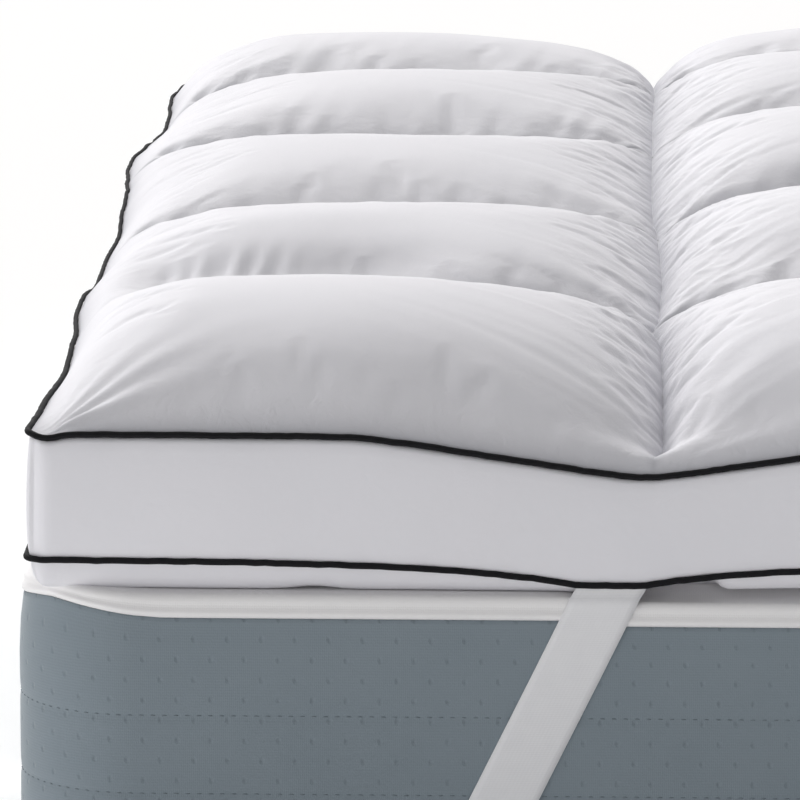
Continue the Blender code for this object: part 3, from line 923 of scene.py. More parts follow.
def math_node(tree, operation, first, second=0.0):
    """Output of a Math node."""
    return add_node(tree, "ShaderNodeMath", {0: first, 1: second}, operation=operation).outputs[0]


def cloth_place(tree, scale):
    """The piece's own UV map, in metres of cloth, scaled."""
    uv = add_node(tree, "ShaderNodeUVMap", uv_map="cloth")
    mapping = add_node(tree, "ShaderNodeMapping", {"Vector": uv.outputs[0], "Scale": scale})
    return mapping.outputs[0]


def bands(tree, place, direction, inputs):
    """Even bands across a direction of the cloth."""
    wave = add_node(
        tree, "ShaderNodeTexWave", {"Vector": place, **inputs},
        wave_type="BANDS", bands_direction=direction,
    )
    return wave.outputs["Fac"]


def weave_height(tree, threads_per_metre):
    """Plain weave: warp and weft waves over and under each other."""
    place = cloth_place(tree, (threads_per_metre, threads_per_metre, 1))
    warp = bands(tree, place, "X", WEAVE_BANDS)
    weft = bands(tree, place, "Y", WEAVE_BANDS)
    return math_node(tree, "MAXIMUM", warp, weft)


def bumped(tree, shader, height, bump, onto=None):
    """Bump from a height; onto is an earlier bump's normal."""
    inputs = {"Height": height, "Distance": bump.depth, "Strength": bump.strength}
    if onto is not None:
        inputs["Normal"] = onto
    node = add_node(tree, "ShaderNodeBump", inputs)
    tree.links.new(node.outputs[0], shader.inputs["Normal"])
    return node.outputs[0]


def cloth_material(name, finish):
    """Material of a cloth with soft colour variation; the colour comes with it."""
    material, tree, shader = new_material(name, finish.colour, finish.roughness)
    place = add_node(tree, "ShaderNodeTexCoord").outputs["Object"]
    noise = add_node(
        tree, "ShaderNodeTexNoise",
        {"Vector": place, "Scale": finish.patches, "Detail": PATCH_DETAIL},
    )
    mix = add_node(tree, "ShaderNodeMix", data_type="RGBA")
    tree.links.new(noise.outputs["Fac"], mix.inputs["Factor"])
    mix.inputs["A"].default_value = (*finish.dark, 1)
    mix.inputs["B"].default_value = (*finish.light, 1)
    tree.links.new(mix.outputs["Result"], shader.inputs["Base Color"])
    return material, tree, shader, mix.outputs["Result"]


def shade_over(tree, shader, colour, mask, strength, shade):
    """Darken a colour where a mask is."""
    mix = add_node(tree, "ShaderNodeMix", data_type="RGBA", blend_type="MULTIPLY")
    tree.links.new(math_node(tree, "MULTIPLY", mask, strength), mix.inputs["Factor"])
    tree.links.new(colour, mix.inputs["A"])
    mix.inputs["B"].default_value = (*shade, 1)
    tree.links.new(mix.outputs["Result"], shader.inputs["Base Color"])


def cotton_material():
    """White downproof cotton: a tight matt weave with fine creases near the seams, and painted
    shade down in their channels.
    """
    material, tree, shader, colour = cloth_material("white_cotton", COTTON)
    shader.inputs["Sheen Weight"].default_value = COTTON_SHEEN
    shader.inputs["Sheen Roughness"].default_value = COTTON_SHEEN_ROUGHNESS
    # Painted shade: the channel mask darkens the cloth's colour beside the seams.
    channel = add_node(tree, "ShaderNodeAttribute", attribute_name="channel").outputs["Fac"]
    shade_over(tree, shader, colour, channel, CHANNEL_SHADE, CHANNEL_SHADE_COLOUR)
    weave = weave_height(tree, COTTON_THREADS_PER_METRE)
    normal = bumped(tree, shader, weave, WEAVE_BUMP)
    place = cloth_place(tree, (1, 1, 1))
    crease = add_node(tree, "ShaderNodeTexNoise", {"Vector": place, **COTTON_CREASES})
    pull = add_node(tree, "ShaderNodeAttribute", attribute_name="seam_pull").outputs["Fac"]
    depth = math_node(tree, "MULTIPLY", crease.outputs["Fac"], pull)
    bumped(tree, shader, depth, CREASE_BUMP, normal)
    return material


def cord_material():
    """Charcoal twill over the piping cord."""
    material, tree, shader, _ = cloth_material("charcoal_piping", CHARCOAL_TWILL)
    shader.inputs["Specular IOR Level"].default_value = CORD_GLOSS
    place = cloth_place(tree, (1, 1, 1))
    twill = bands(tree, place, "DIAGONAL", CORD_TWILL)
    bumped(tree, shader, twill, TWILL_BUMP)
    return material


def elastic_material():
    """Flat woven elastic: fine ribs across it and rubber cords along it."""
    material, tree, shader, _ = cloth_material("white_elastic", ELASTIC)
    place = cloth_place(tree, (1, 1, 1))
    ribs = bands(tree, place, "Y", ELASTIC_RIBS)
    cords = bands(tree, place, "X", ELASTIC_CORDS)
    bumped(tree, shader, math_node(tree, "ADD", ribs, cords), ELASTIC_BUMP)
    return material


def knit_height(tree, loops_per_metre):
    """Close knitted loops, a little longer than wide."""
    place = cloth_place(tree, (loops_per_metre, loops_per_metre * LOOP_WIDTH_TO_LENGTH, 1))
    loops = add_node(tree, "ShaderNodeTexVoronoi", {"Vector": place, **KNIT_LOOPS})
    return loops.outputs["Distance"]


def dot_mask(tree):
    """Mask of staggered rows of small oval dots over the border, in its own UV map."""
    masks = []
    for shift in (0.0, 0.5):
        place = cloth_place(tree, (1 / DOT_SPACING, 1 / DOT_ROW_PITCH, 1))
        split = add_node(tree, "ShaderNodeSeparateXYZ", {0: place})
        parts = []
        for axis, size in (("X", DOT_SPACING), ("Y", DOT_ROW_PITCH * DOT_LENGTHENED)):
            moved = math_node(tree, "ADD", split.outputs[axis], shift)
            within = math_node(tree, "FRACT", moved)
            centred = math_node(tree, "SUBTRACT", within, 0.5)
            metres = math_node(tree, "MULTIPLY", centred, size)
            parts.append(math_node(tree, "POWER", math_node(tree, "ABSOLUTE", metres), 2.0))
        away = math_node(tree, "SQRT", math_node(tree, "ADD", parts[0], parts[1]))
        mask = add_node(
            tree, "ShaderNodeMapRange",
            {"Value": away, "From Min": 0.0, "From Max": DOT_SIZE, "To Min": 1.0, "To Max": 0.0},
        )
        masks.append(mask.outputs[0])
    return math_node(tree, "MAXIMUM", masks[0], masks[1])


def border_material():
    """Grey-blue knitted border with a small staggered dot."""
    material, tree, shader, colour = cloth_material("grey_ticking", GREY_KNIT)
    shader.inputs["Sheen Weight"].default_value = BORDER_SHEEN
    mask = dot_mask(tree)
    shade_over(tree, shader, colour, mask, DOT_SHADE, DOT_COLOUR)
    normal = bumped(tree, shader, knit_height(tree, BORDER_LOOPS_PER_METRE), BORDER_KNIT_BUMP)
    bumped(tree, shader, math_node(tree, "MULTIPLY", mask, -1.0), DOT_BUMP, normal)
    return material


def panel_material():
    """White knitted upper panel of the mattress."""
    material, tree, shader, _ = cloth_material("white_ticking", WHITE_KNIT)
    bumped(tree, shader, knit_height(tree, PANEL_LOOPS_PER_METRE), PANEL_KNIT_BUMP)
    return material


def thread_material(name, colour):
    """Sewing thread."""
    material, tree, shader = new_material(name, colour, THREAD_ROUGHNESS)
    place = add_node(tree, "ShaderNodeTexCoord").outputs["Object"]
    ply = add_node(tree, "ShaderNodeTexNoise", {"Vector": place, **THREAD_PLY})
    bumped(tree, shader, ply.outputs["Fac"], THREAD_BUMP)
    return material


def set_material(thing, material):
    """Give a piece its material."""
    thing.data.materials.clear()
    thing.data.materials.append(material)


# ---------------------------------------------------------------- the quilted pockets

COLUMN_NAMES = ("left", "middle", "right")
# The plain underside of a column, which is hidden in the box.
HIDDEN_INSET = 0.012
HIDDEN_HEIGHT = 0.335


def column_strip(column, shift, settle_places):
    """One column of pockets: its quilted side, and a plain hidden underside that closes it."""
    across_places = stations(1, FINE_CELLS[0]) + column
    along_places = stations(POCKETS_ALONG, FINE_CELLS[1])
    across, along = np.meshgrid(across_places, along_places, indexing="ij")
    points = quilted_point(across, along)
    rows = np.interp(across_places, settle_places[0], np.arange(len(settle_places[0])))
    columns = np.interp(along_places, settle_places[1], np.arange(len(settle_places[1])))
    points = points + sample(shift, rows, columns)
    points += grid_normals(points) * pleat_height(across, along)[..., None]
    index = np.arange(across.size).reshape(across.shape)
    ring = np.concatenate([index[:-1, 0], index[-1, :-1], index[:0:-1, -1], index[0, :0:-1]])
    flat_points = points.reshape(-1, 3)
    faces = grid_faces(*across.shape)
    edge = flat_points[ring]
    hidden = edge - outward(edge) * HIDDEN_INSET
    hidden[:, 2] = HIDDEN_HEIGHT
    hidden_index = np.arange(len(ring)) + across.size
    faces += band_faces(ring, hidden_index)
    faces.append(hidden_index[::-1].tolist())
    uv = np.stack([across.ravel() * POCKET_WIDTH, along.ravel() * POCKET_LENGTH], axis=-1)
    uv = np.concatenate([uv, uv[ring]])
    nearest = np.minimum(*from_seams(across, along)).ravel()
    attributes = {}
    # The channel attribute is the mask of the painted shade beside the seams.
    for key, reach in (("seam_pull", SEAM_CREASE_REACH), ("channel", CHANNEL_SHADE_REACH)):
        share = np.exp(-nearest / reach)
        attributes[key] = np.concatenate([share, share[ring]])
    everything = np.concatenate([flat_points, hidden])
    name = "quilted_column_" + COLUMN_NAMES[column]
    strip = mesh_object(name, everything, faces, uv, attributes)
    part_shading(strip, across.size)
    return strip


# ---------------------------------------------------------------- the box wall and underside

WALL_LEVELS = 14
WALL_CELLS = (70, 56)
# The hidden cap under the pockets, and the ring below the upper cord that leads to it.
CAP_INSET = 0.010
CAP_DROP = 0.004
UNDER_CORD_INSET = 0.003
UNDER_CORD_DROP = 0.014
# Small ripples beside both seams, which fade away from them, and a slow swell in between.
Ripple = namedtuple("Ripple", "height pitch seed")
UPPER_RIPPLE = Ripple(height=0.0005, pitch=0.011, seed=31)
LOWER_RIPPLE = Ripple(height=0.0005, pitch=0.012, seed=32)
WALL_SWELL = Ripple(height=0.0016, pitch=0.085, seed=33)
RIPPLE_FADE = 9
SWELL_SLANT = 0.05
# The underside tucks in below the lower seam, and further in past the straps of an end.
UNDERSIDE_INSET = 0.014
UNDERSIDE_LIFTED = 0.030
UNDERSIDE_FLAT_FROM = 0.080
PAST_STRAP_FROM = 0.03
PAST_STRAP_LENGTH = 0.04
HANGING_FROM_MIDDLE = 0.188
HANGING_LENGTH = 0.022
ARCH_FROM_MIDDLE = 0.517
ARCH_WIDTH = 0.019
ARCH_LIFT = 0.11
# Shares of the inset and of the drop at each level of the underside: a soft rounding, the hollow
# beside a strap, and the cloth that hangs between the straps of one end.
ROUND_UNDERSIDE = ((0.05, 0.31), (0.19, 0.59), (0.41, 0.81), (0.69, 0.95), (1.0, 1.0))
HOLLOW_UNDERSIDE = ((0.30, 0.04), (0.60, 0.10), (0.80, 0.22), (0.92, 0.55), (1.0, 1.0))
HANGING_UNDERSIDE = ((0.03, 0.30), (0.10, 0.56), (0.24, 0.66), (0.62, 0.74), (1.0, 1.0))
# The mattress's upper edge is pressed down between the straps of an end.
SAG_PAST_STRAP = 0.042
SAG_EASE = 0.05
SAG_FROM_END = 0.12
SAG_END_EASE = 0.03
# Lengths of cloth above the lower seam at the hidden cap and below the upper cord, and below the
# lower seam from ring to ring and at the flat underside.
CAP_CLOTH = 0.12
UNDER_CORD_CLOTH = 0.11
UNDERSIDE_CLOTH_STEP = 0.006
UNDERSIDE_CLOTH = 0.10


def outline_places(cells):
    """Places round the outline, anticlockwise from the front left corner, each once."""
    columns = stations(POCKETS_ACROSS, cells[0])
    rows = stations(POCKETS_ALONG, cells[1])
    zero_c, zero_r = np.zeros(len(columns) - 1), np.zeros(len(rows) - 1)
    across = np.concatenate([columns[:-1], zero_r + POCKETS_ACROSS, columns[:0:-1], zero_r])
    along = np.concatenate([zero_c, rows[:-1], zero_c + POCKETS_ALONG, rows[:0:-1]])
    return across, along


def bottom_edge(across, along):
    """The seam line where the wall meets the underside."""
    x, y = plan_point(across, along)
    on_end = (along == 0) | (along == POCKETS_ALONG)
    away_on_end = np.abs(np.abs(x) - (MATTRESS_WIDTH / 2 - STRAP_FROM_CORNER))
    away_on_side = np.abs(np.abs(y) - (MATTRESS_LENGTH / 2 - STRAP_FROM_CORNER))
    away = np.where(on_end, away_on_end, away_on_side)
    pull = STRAP_PULL_DOWN * np.exp(-np.maximum(away - STRAP_PULL_FLAT, 0) / STRAP_PULL_REACH)
    return np.stack([x, y, BOTTOM_PIPING_HEIGHT - pull], axis=-1)


def sag_share(inset):
    """How much of the mattress's edge sag there is at an inset from its outline."""
    return 1 - np.clip((inset - EDGE_SAG_FLAT) / EDGE_SAG_REACH, 0, 1)


def middle_sag(points):
    """How far the mattress's upper edge is pressed down between the two straps of an end."""
    to_strap = MATTRESS_WIDTH / 2 - STRAP_FROM_CORNER
    between = ease((to_strap + SAG_PAST_STRAP - np.abs(points[:, 0])) / SAG_EASE)
    at_end = ease((np.abs(points[:, 1]) - MATTRESS_LENGTH / 2 + SAG_FROM_END) / SAG_END_EASE)
    return MIDDLE_SAG * between * at_end


def underside_lie(edge):
    """Tuck, inset shares and drop shares of the underside below the lower seam, all round."""
    middle = np.abs(edge[:, 0])
    to_strap = MATTRESS_WIDTH / 2 - STRAP_FROM_CORNER
    past_strap = ease((to_strap + PAST_STRAP_FROM - middle) / PAST_STRAP_LENGTH)
    hanging = ease((HANGING_FROM_MIDDLE + HANGING_LENGTH - middle) / HANGING_LENGTH)
    weighed = (
        (ROUND_UNDERSIDE, 1 - past_strap),
        (HOLLOW_UNDERSIDE, past_strap * (1 - hanging)),
        (HANGING_UNDERSIDE, past_strap * hanging),
    )
    shares = sum(np.array(kind)[:, :, None] * weight for kind, weight in weighed)
    arch = np.exp(-((middle - ARCH_FROM_MIDDLE) / ARCH_WIDTH) ** 2)
    shares[:, 1] *= 1 - ARCH_LIFT * arch
    return UNDERSIDE_INSET + UNDERSIDE_LIFTED * past_strap, shares


def rippled(run, ripple):
    """Small random lifts along the outline."""
    return ripple.height * wander(run, ripple.pitch, ripple.seed)


def make_box():
    """The boxed wall and the underside, closed above by a hidden cap under the pockets."""
    across, along = outline_places(WALL_CELLS)
    upper = quilted_point(across, along)
    lower = bottom_edge(across, along)
    out = outward(lower)
    run = run_along(lower)
    from_side = TOPPER_WIDTH / 2 - np.abs(lower[:, 0])
    from_end = TOPPER_LENGTH / 2 - np.abs(lower[:, 1])
    free = ease(np.maximum(from_side, from_end) / WALL_BULGE_FREE_OF_CORNER)
    on_side = np.minimum(np.abs(out[:, 0]), 1.0)
    fullness = END_WALL_BULGE + (SIDE_WALL_BULGE - END_WALL_BULGE) * on_side
    cap = upper - out * CAP_INSET
    cap[:, 2] = HIDDEN_HEIGHT - CAP_DROP
    under_cord = upper - out * UNDER_CORD_INSET
    under_cord[:, 2] -= UNDER_CORD_DROP
    rings = [cap, under_cord]
    heights = [CAP_CLOTH, UNDER_CORD_CLOTH]
    for level in np.linspace(0, 1, WALL_LEVELS + 1):
        bulge = fullness * np.sin(np.pi * level) ** WALL_BULGE_POWER * free
        ripple = rippled(run, UPPER_RIPPLE) * math.exp(-level * RIPPLE_FADE)
        ripple = ripple + rippled(run, LOWER_RIPPLE) * math.exp(-(1 - level) * RIPPLE_FADE)
        swell = rippled(run + SWELL_SLANT * level, WALL_SWELL) * math.sin(math.pi * level)
        moved = bulge + (ripple + swell) * free
        rings.append(upper * (1 - level) + lower * level + out * moved[:, None])
        heights.append((TOP_PIPING_HEIGHT - BOTTOM_PIPING_HEIGHT) * (1 - level))
    tucked, shares = underside_lie(lower)
    for level, (inset, drop) in enumerate(shares):
        ring = lower - out * (tucked * inset)[:, None]
        from_edge = (MATTRESS_WIDTH - TOPPER_WIDTH) / 2 + tucked * inset
        foot = TOPPER_FOOT - sag_share(from_edge) * (EDGE_SAG + middle_sag(lower))
        ring[:, 2] = lower[:, 2] - (lower[:, 2] - foot) * drop
        rings.append(ring)
        heights.append(-UNDERSIDE_CLOTH_STEP * (level + 1))
    last = lower - out * UNDERSIDE_FLAT_FROM
    last[:, 2] = TOPPER_FOOT
    rings.append(last)
    heights.append(-UNDERSIDE_CLOTH)
    points, faces = ring_pile(rings)
    uv = np.stack([np.tile(run, len(heights)), np.repeat(heights, len(run))], axis=-1)
    pull = np.full(len(points), WALL_CREASES)
    return mesh_object("boxed_wall", points, faces, uv, {"seam_pull": pull})


# ---------------------------------------------------------------- piping

CORD_SIDES = 12
CORD_WANDER = 0.0005
CORD_WANDER_SPREAD = 4.0
CORD_WANDER_SCALE = 95.0
CORD_WANDER_DETAIL = 3.0


def sewing_tree(name, sockets):
    """Geometry Nodes tree with named inputs, and the outputs of its first node."""
    tree = bpy.data.node_groups.new(name, "GeometryNodeTree")
    face = tree.interface
    face.new_socket("Geometry", in_out="INPUT", socket_type="NodeSocketGeometry")
    for label, kind, value in sockets:
        socket = face.new_socket(label, in_out="INPUT", socket_type="NodeSocket" + kind)
        if value is not None:
            socket.default_value = value
    face.new_socket("Geometry", in_out="OUTPUT", socket_type="NodeSocketGeometry")
    return tree, add_node(tree, "NodeGroupInput").outputs


def end_tree(tree, geometry, material):
    """End a tree in Realize Instances and Set Material."""
    real = add_node(tree, "GeometryNodeRealizeInstances", {"Geometry": geometry})
    painted = add_node(
        tree, "GeometryNodeSetMaterial", {"Geometry": real.outputs[0], "Material": material},
    )
    end = add_node(tree, "NodeGroupOutput")
    tree.links.new(painted.outputs[0], end.inputs["Geometry"])
    return tree


def with_length(tree, geometry, name):
    """Curve that keeps the length along it at each point, and that length."""
    kept = add_node(tree, "GeometryNodeCaptureAttribute", {"Geometry": geometry}, domain="POINT")
    kept.capture_items.new("FLOAT", name)
    spline = add_node(tree, "GeometryNodeSplineParameter")
    tree.links.new(spline.outputs["Length"], kept.inputs[name])
    return kept.outputs["Geometry"], kept.outputs[name]


def cord_tree():
    """Geometry Nodes: a round cord swept along a curve, with its own cloth map."""
    sockets = (
        ("Cord Radius", "Float", PIPING_RADIUS),
        ("Wander", "Float", CORD_WANDER),
        ("Sides", "Int", CORD_SIDES),
        ("Cloth", "Material", None),
    )
    tree, start = sewing_tree("sew_cord", sockets)
    noise = add_node(
        tree, "ShaderNodeTexNoise", {"Scale": CORD_WANDER_SCALE, "Detail": CORD_WANDER_DETAIL},
    )
    centred = add_node(
        tree, "ShaderNodeVectorMath", {0: noise.outputs["Color"], 1: (0.5, 0.5, 0.5)},
        operation="SUBTRACT",
    )
    scaled = add_node(
        tree, "ShaderNodeVectorMath", {0: centred.outputs[0], "Scale": start["Wander"]},
        operation="SCALE",
    )
    spread = add_node(
        tree, "ShaderNodeVectorMath", {0: scaled.outputs[0], "Scale": CORD_WANDER_SPREAD},
        operation="SCALE",
    )
    moved = add_node(
        tree, "GeometryNodeSetPosition",
        {"Geometry": start["Geometry"], "Offset": spread.outputs[0]},
    )
    level = add_node(
        tree, "GeometryNodeSetCurveNormal", {"Curve": moved.outputs[0]}, mode="Z_UP",
    )
    path, run = with_length(tree, level.outputs[0], "Run")
    circle = add_node(
        tree, "GeometryNodeCurvePrimitiveCircle",
        {"Resolution": start["Sides"], "Radius": start["Cord Radius"]},
    )
    profile, turn = with_length(tree, circle.outputs[0], "Turn")
    thickness = add_node(tree, "GeometryNodeInputRadius").outputs[0]
    swept = add_node(
        tree, "GeometryNodeCurveToMesh",
        {"Curve": path, "Profile Curve": profile, "Scale": thickness},
    )
    place = add_node(tree, "ShaderNodeCombineXYZ", {"X": run, "Y": turn})
    mapped = add_node(
        tree, "GeometryNodeStoreNamedAttribute",
        {"Geometry": swept.outputs[0], "Name": "cloth", "Value": place.outputs[0]},
        data_type="FLOAT2", domain="CORNER",
    )
    return end_tree(tree, mapped.outputs[0], start["Cloth"])


def baked(thing, tree, name, inputs):
    """Run a Geometry Nodes tree on an object and keep the result as a plain mesh piece."""
    modifier = thing.modifiers.new("nodes", "NODES")
    modifier.node_group = tree
    for socket in tree.interface.items_tree:
        if socket.in_out == "INPUT" and socket.name in inputs:
            modifier[socket.identifier] = inputs[socket.name]
    shown = thing.evaluated_get(bpy.context.evaluated_depsgraph_get())
    mesh = bpy.data.meshes.new_from_object(shown)
    mesh.name = name
    mesh.shade_smooth()
    bpy.data.objects.remove(thing, do_unlink=True)
    return link(name, mesh)


def path_curve(name, lines, closed, thickness=None):
    """Curve object with one spline for each line of points; the thickness is a share."""
    curve = bpy.data.curves.new(name, "CURVE")
    curve.dimensions = "3D"
    for points in lines:
        spline = curve.splines.new("POLY")
        spline.points.add(len(points) - 1)
        flat = np.concatenate([points, np.ones((len(points), 1))], axis=1)
        spline.points.foreach_set("co", flat.astype(np.float32).ravel())
        if thickness is not None:
            spline.points.foreach_set("radius", thickness.astype(np.float32))
        spline.use_cyclic_u = closed
    return link(name, curve)


def make_piping(name, edge, tree, material):
    """A cord sewn all round along one edge of the wall."""
    from_front = edge[:, 1] + TOPPER_LENGTH / 2
    sunk = ease((from_front - PIPING_SINK_FROM) / PIPING_SINK_LENGTH)
    thickness = 1 - PIPING_SINK * sunk
    path = edge + outward(edge) * (PIPING_RADIUS * thickness + PIPING_CLEARANCE)[:, None]
    curve = path_curve(name + "_path", [path], True, thickness)
    return baked(curve, tree, name, {"Cloth": material})


# ---------------------------------------------------------------- stitches

QUILTING_STITCH = {"Pitch": 0.005, "Stitch Length": 0.0032, "Thread Radius": 0.00045}
BORDER_STITCH = {"Pitch": 0.0092, "Stitch Length": 0.0040, "Thread Radius": 0.0005}
STITCH_SEGMENTS = 6
STITCH_RINGS = 4
# The column seams' stitches start this part of a pocket in from the ends.
STITCH_FROM_END = 0.06
COLUMN_SEAM_POINTS = 400
ROW_SEAM_POINTS = 300
THREAD_SINK = 0.0001


def stitch_tree():
    """Geometry Nodes: one rounded thread stitch at every pitch along a curve."""
    sockets = [(label, "Float", value) for label, value in QUILTING_STITCH.items()]
    tree, start = sewing_tree("sew_stitches", sockets + [("Thread", "Material", None)])
    points = add_node(
        tree, "GeometryNodeCurveToPoints",
        {"Curve": start["Geometry"], "Length": start["Pitch"]}, mode="LENGTH",
    )
    ball = add_node(
        tree, "GeometryNodeMeshUVSphere",
        {"Segments": STITCH_SEGMENTS, "Rings": STITCH_RINGS, "Radius": 1.0},
    )
    half = math_node(tree, "MULTIPLY", start["Stitch Length"], 0.5)
    size = add_node(
        tree, "ShaderNodeCombineXYZ",
        {"X": start["Thread Radius"], "Y": start["Thread Radius"], "Z": half},
    )
    placed = add_node(
        tree, "GeometryNodeInstanceOnPoints",
        {
            "Points": points.outputs["Points"],
            "Instance": ball.outputs["Mesh"],
            "Scale": size.outputs[0],
        },
    )
    align = add_node(
        tree, "FunctionNodeAlignEulerToVector", {"Vector": points.outputs["Tangent"]}, axis="Z",
    )
    tree.links.new(align.outputs[0], placed.inputs["Rotation"])
    return end_tree(tree, placed.outputs[0], start["Thread"])


def seam_lines():
    """Paths of the quilting seams, just on the cloth in the bottom of each channel."""
    lines = []
    along = np.linspace(STITCH_FROM_END, POCKETS_ALONG - STITCH_FROM_END, COLUMN_SEAM_POINTS)
    for column in range(1, POCKETS_ACROSS):
        lines.append(quilted_point(np.full_like(along, column), along))
    start = ROW_SEAM_START / POCKET_WIDTH
    across = np.linspace(start, POCKETS_ACROSS - start, ROW_SEAM_POINTS)
    for row in range(1, POCKETS_ALONG):
        lines.append(quilted_point(across, np.full_like(across, row)))
    for line in lines:
        line[:, 2] -= THREAD_SINK
    return lines


# ---------------------------------------------------------------- the mattress

ROUND_STEPS = 8
TAPE_BEAD = 0.0035
TAPE_PROUD = 0.0018
# Rings of the taped edge: how far each stands out, and its height, in parts of those two.
TAPE_RINGS = ((0.0, 2.0), (1.0, 1.6), (1.0, 0.5), (0.0, 0.0))
CORNER_STEPS = 24
QUILT_LINES = (0.147, 0.083, 0.019)
QUILT_DEPTH = 0.0012
QUILT_REACH = 0.004
# The border's stitches stand a little proud of the bottom of their channel.
STITCH_PROUD = 0.0003
# The border is fullest at this share of its height, and its shoulder is still a little drawn in.
FULLEST_SHARE = 0.72
SHOULDER_SHARE = 0.82
SHOULDER_INSET_SHARE = 0.3
CORNER_LIFT_REACH = 0.13
CORNER_LIFT_SPREAD = 0.02
SAG_FADE_BELOW = 0.03


def mattress_outline(inset, height, straight_step=0.02):
    """Plan outline of the mattress at an inset, with its run along the outline."""
    points = []
    half_x = MATTRESS_WIDTH / 2 - MATTRESS_CORNER
    half_y = MATTRESS_LENGTH / 2 - MATTRESS_CORNER
    radius = MATTRESS_CORNER - inset
    sides = ((1, 1), (-1, 1), (-1, -1), (1, -1))
    lengths = (2 * half_x, 2 * half_y, 2 * half_x, 2 * half_y)
    for quarter, (side_x, side_y) in enumerate(sides):
        turn = math.pi / 2 * (quarter + np.arange(CORNER_STEPS) / CORNER_STEPS)
        x = side_x * half_x + radius * np.cos(turn)
        y = side_y * half_y + radius * np.sin(turn)
        points.append(np.stack([x, y], axis=-1))
        last = math.pi / 2 * (quarter + 1)
        arm = radius * np.array([math.cos(last), math.sin(last)])
        next_x, next_y = sides[(quarter + 1) % 4]
        begin = np.array([side_x * half_x, side_y * half_y]) + arm
        finish = np.array([next_x * half_x, next_y * half_y]) + arm
        count = int(lengths[quarter] / straight_step)
        share = (np.arange(count) / count)[:, None]
        points.append(begin * (1 - share) + finish * share)
    plan = np.concatenate(points)
    return np.concatenate([plan, np.full((len(plan), 1), height)], axis=1)


def arc_profile(centre_inset, centre_height, radius, first, last):
    """Inset and height along a rounding; 0 degrees faces out and 90 degrees up."""
    turn = np.radians(np.linspace(first, last, ROUND_STEPS + 1))
    return [
        (centre_inset - radius * math.cos(t), centre_height + radius * math.sin(t)) for t in turn
    ]


def panel_profile():
    """Inset and height down the side of the mattress's upper panel."""
    centre_height = MATTRESS_TOP - EDGE_SAG - PANEL_ROUND
    top = [(EDGE_SAG_FLAT + EDGE_SAG_REACH, MATTRESS_TOP), (EDGE_SAG_FLAT, MATTRESS_TOP - EDGE_SAG)]
    rounding = arc_profile(PANEL_INSET + PANEL_ROUND, centre_height, PANEL_ROUND, 90, 0)
    tape = [
        (PANEL_INSET - out * TAPE_PROUD, PANEL_FOOT + up * TAPE_BEAD) for out, up in TAPE_RINGS
    ]
    return top + rounding + tape


def border_profile():
    """Inset and height down the side of the mattress's border, to its flat underside."""
    rounding = arc_profile(BORDER_ROUND, MATTRESS_FOOT + BORDER_ROUND, BORDER_ROUND, 0, -90)
    shoulder = [
        (PANEL_INSET, PANEL_FOOT - GAP),
        (PANEL_INSET * SHOULDER_INSET_SHARE, MATTRESS_TOP * SHOULDER_SHARE),
        (0.0, MATTRESS_TOP * FULLEST_SHARE),
    ]
    return shoulder + rounding


def dense_profile(profile, step=0.004):
    """The profile with its long runs divided, with a ring on each stitched channel."""
    places = [profile[0]]
    for (inset, height), (next_inset, next_height) in zip(profile, profile[1:]):
        count = max(1, int(math.dist((inset, height), (next_inset, next_height)) / step))
        shares = [part / count for part in range(1, count + 1)]
        drop = height - next_height
        shares += [(height - line) / drop for line in QUILT_LINES if next_height < line < height]
        for share in sorted(shares):
            places.append((inset + (next_inset - inset) * share, height - drop * share))
    return places


def border_inset(height):
    """Inset of the border's face at a height."""
    lowest = MATTRESS_FOOT + BORDER_ROUND / 2
    insets, heights = zip(*[place for place in border_profile() if place[1] > lowest])
    return float(np.interp(height, heights[::-1], insets[::-1]))


def channel(height):
    """How far the quilted border is drawn in at its stitched lines."""
    return sum(QUILT_DEPTH * math.exp(-abs(height - line) / QUILT_REACH) for line in QUILT_LINES)


def seam_lift(ring):
    """How far the panel's lower seam rides up round the mattress's corners."""
    from_x = MATTRESS_WIDTH / 2 - np.abs(ring[:, 0])
    from_y = MATTRESS_LENGTH / 2 - np.abs(ring[:, 1])
    return PANEL_CORNER_LIFT * (1 - ease(np.maximum(from_x, from_y) / CORNER_LIFT_REACH))


def make_mattress_piece(name, profile, drawn_in):
    """A closed rounded slab from a side profile that runs from top to bottom."""
    dense = dense_profile(profile)
    run = run_along(mattress_outline(0.0, 0.0))
    rings, uv = [], []
    for (inset, height), depth in zip(dense, run_along(np.array(dense))):
        ring = mattress_outline(inset + drawn_in(height), height)
        near_seam = math.exp(-((height - PANEL_FOOT) / CORNER_LIFT_SPREAD) ** 2)
        ring[:, 2] += seam_lift(ring) * near_seam
        below = max(PANEL_FOOT - height, 0)
        sag = middle_sag(ring) * sag_share(inset)
        ring[:, 2] -= sag * math.exp(-(below / SAG_FADE_BELOW) ** 2)
        rings.append(ring)
        uv.append(np.stack([run, np.full_like(run, -depth)], axis=-1))
    points, faces = ring_pile(rings)
    return mesh_object(name, points, faces, np.concatenate(uv))


# ---------------------------------------------------------------- straps


def offset_profile(profile, distance):
    """Side profile moved outward by a distance, mitred at its corners."""
    places = np.array(profile)
    step = np.diff(places, axis=0)
    side = np.stack([-step[:, 1], step[:, 0]], axis=-1)
    side /= np.linalg.norm(side, axis=-1, keepdims=True)
    before = np.concatenate([side[:1], side])
    after = np.concatenate([side, side[-1:]])
    mitre = (before + after) / (1 + np.sum(before * after, axis=-1, keepdims=True))
    return places - mitre * distance


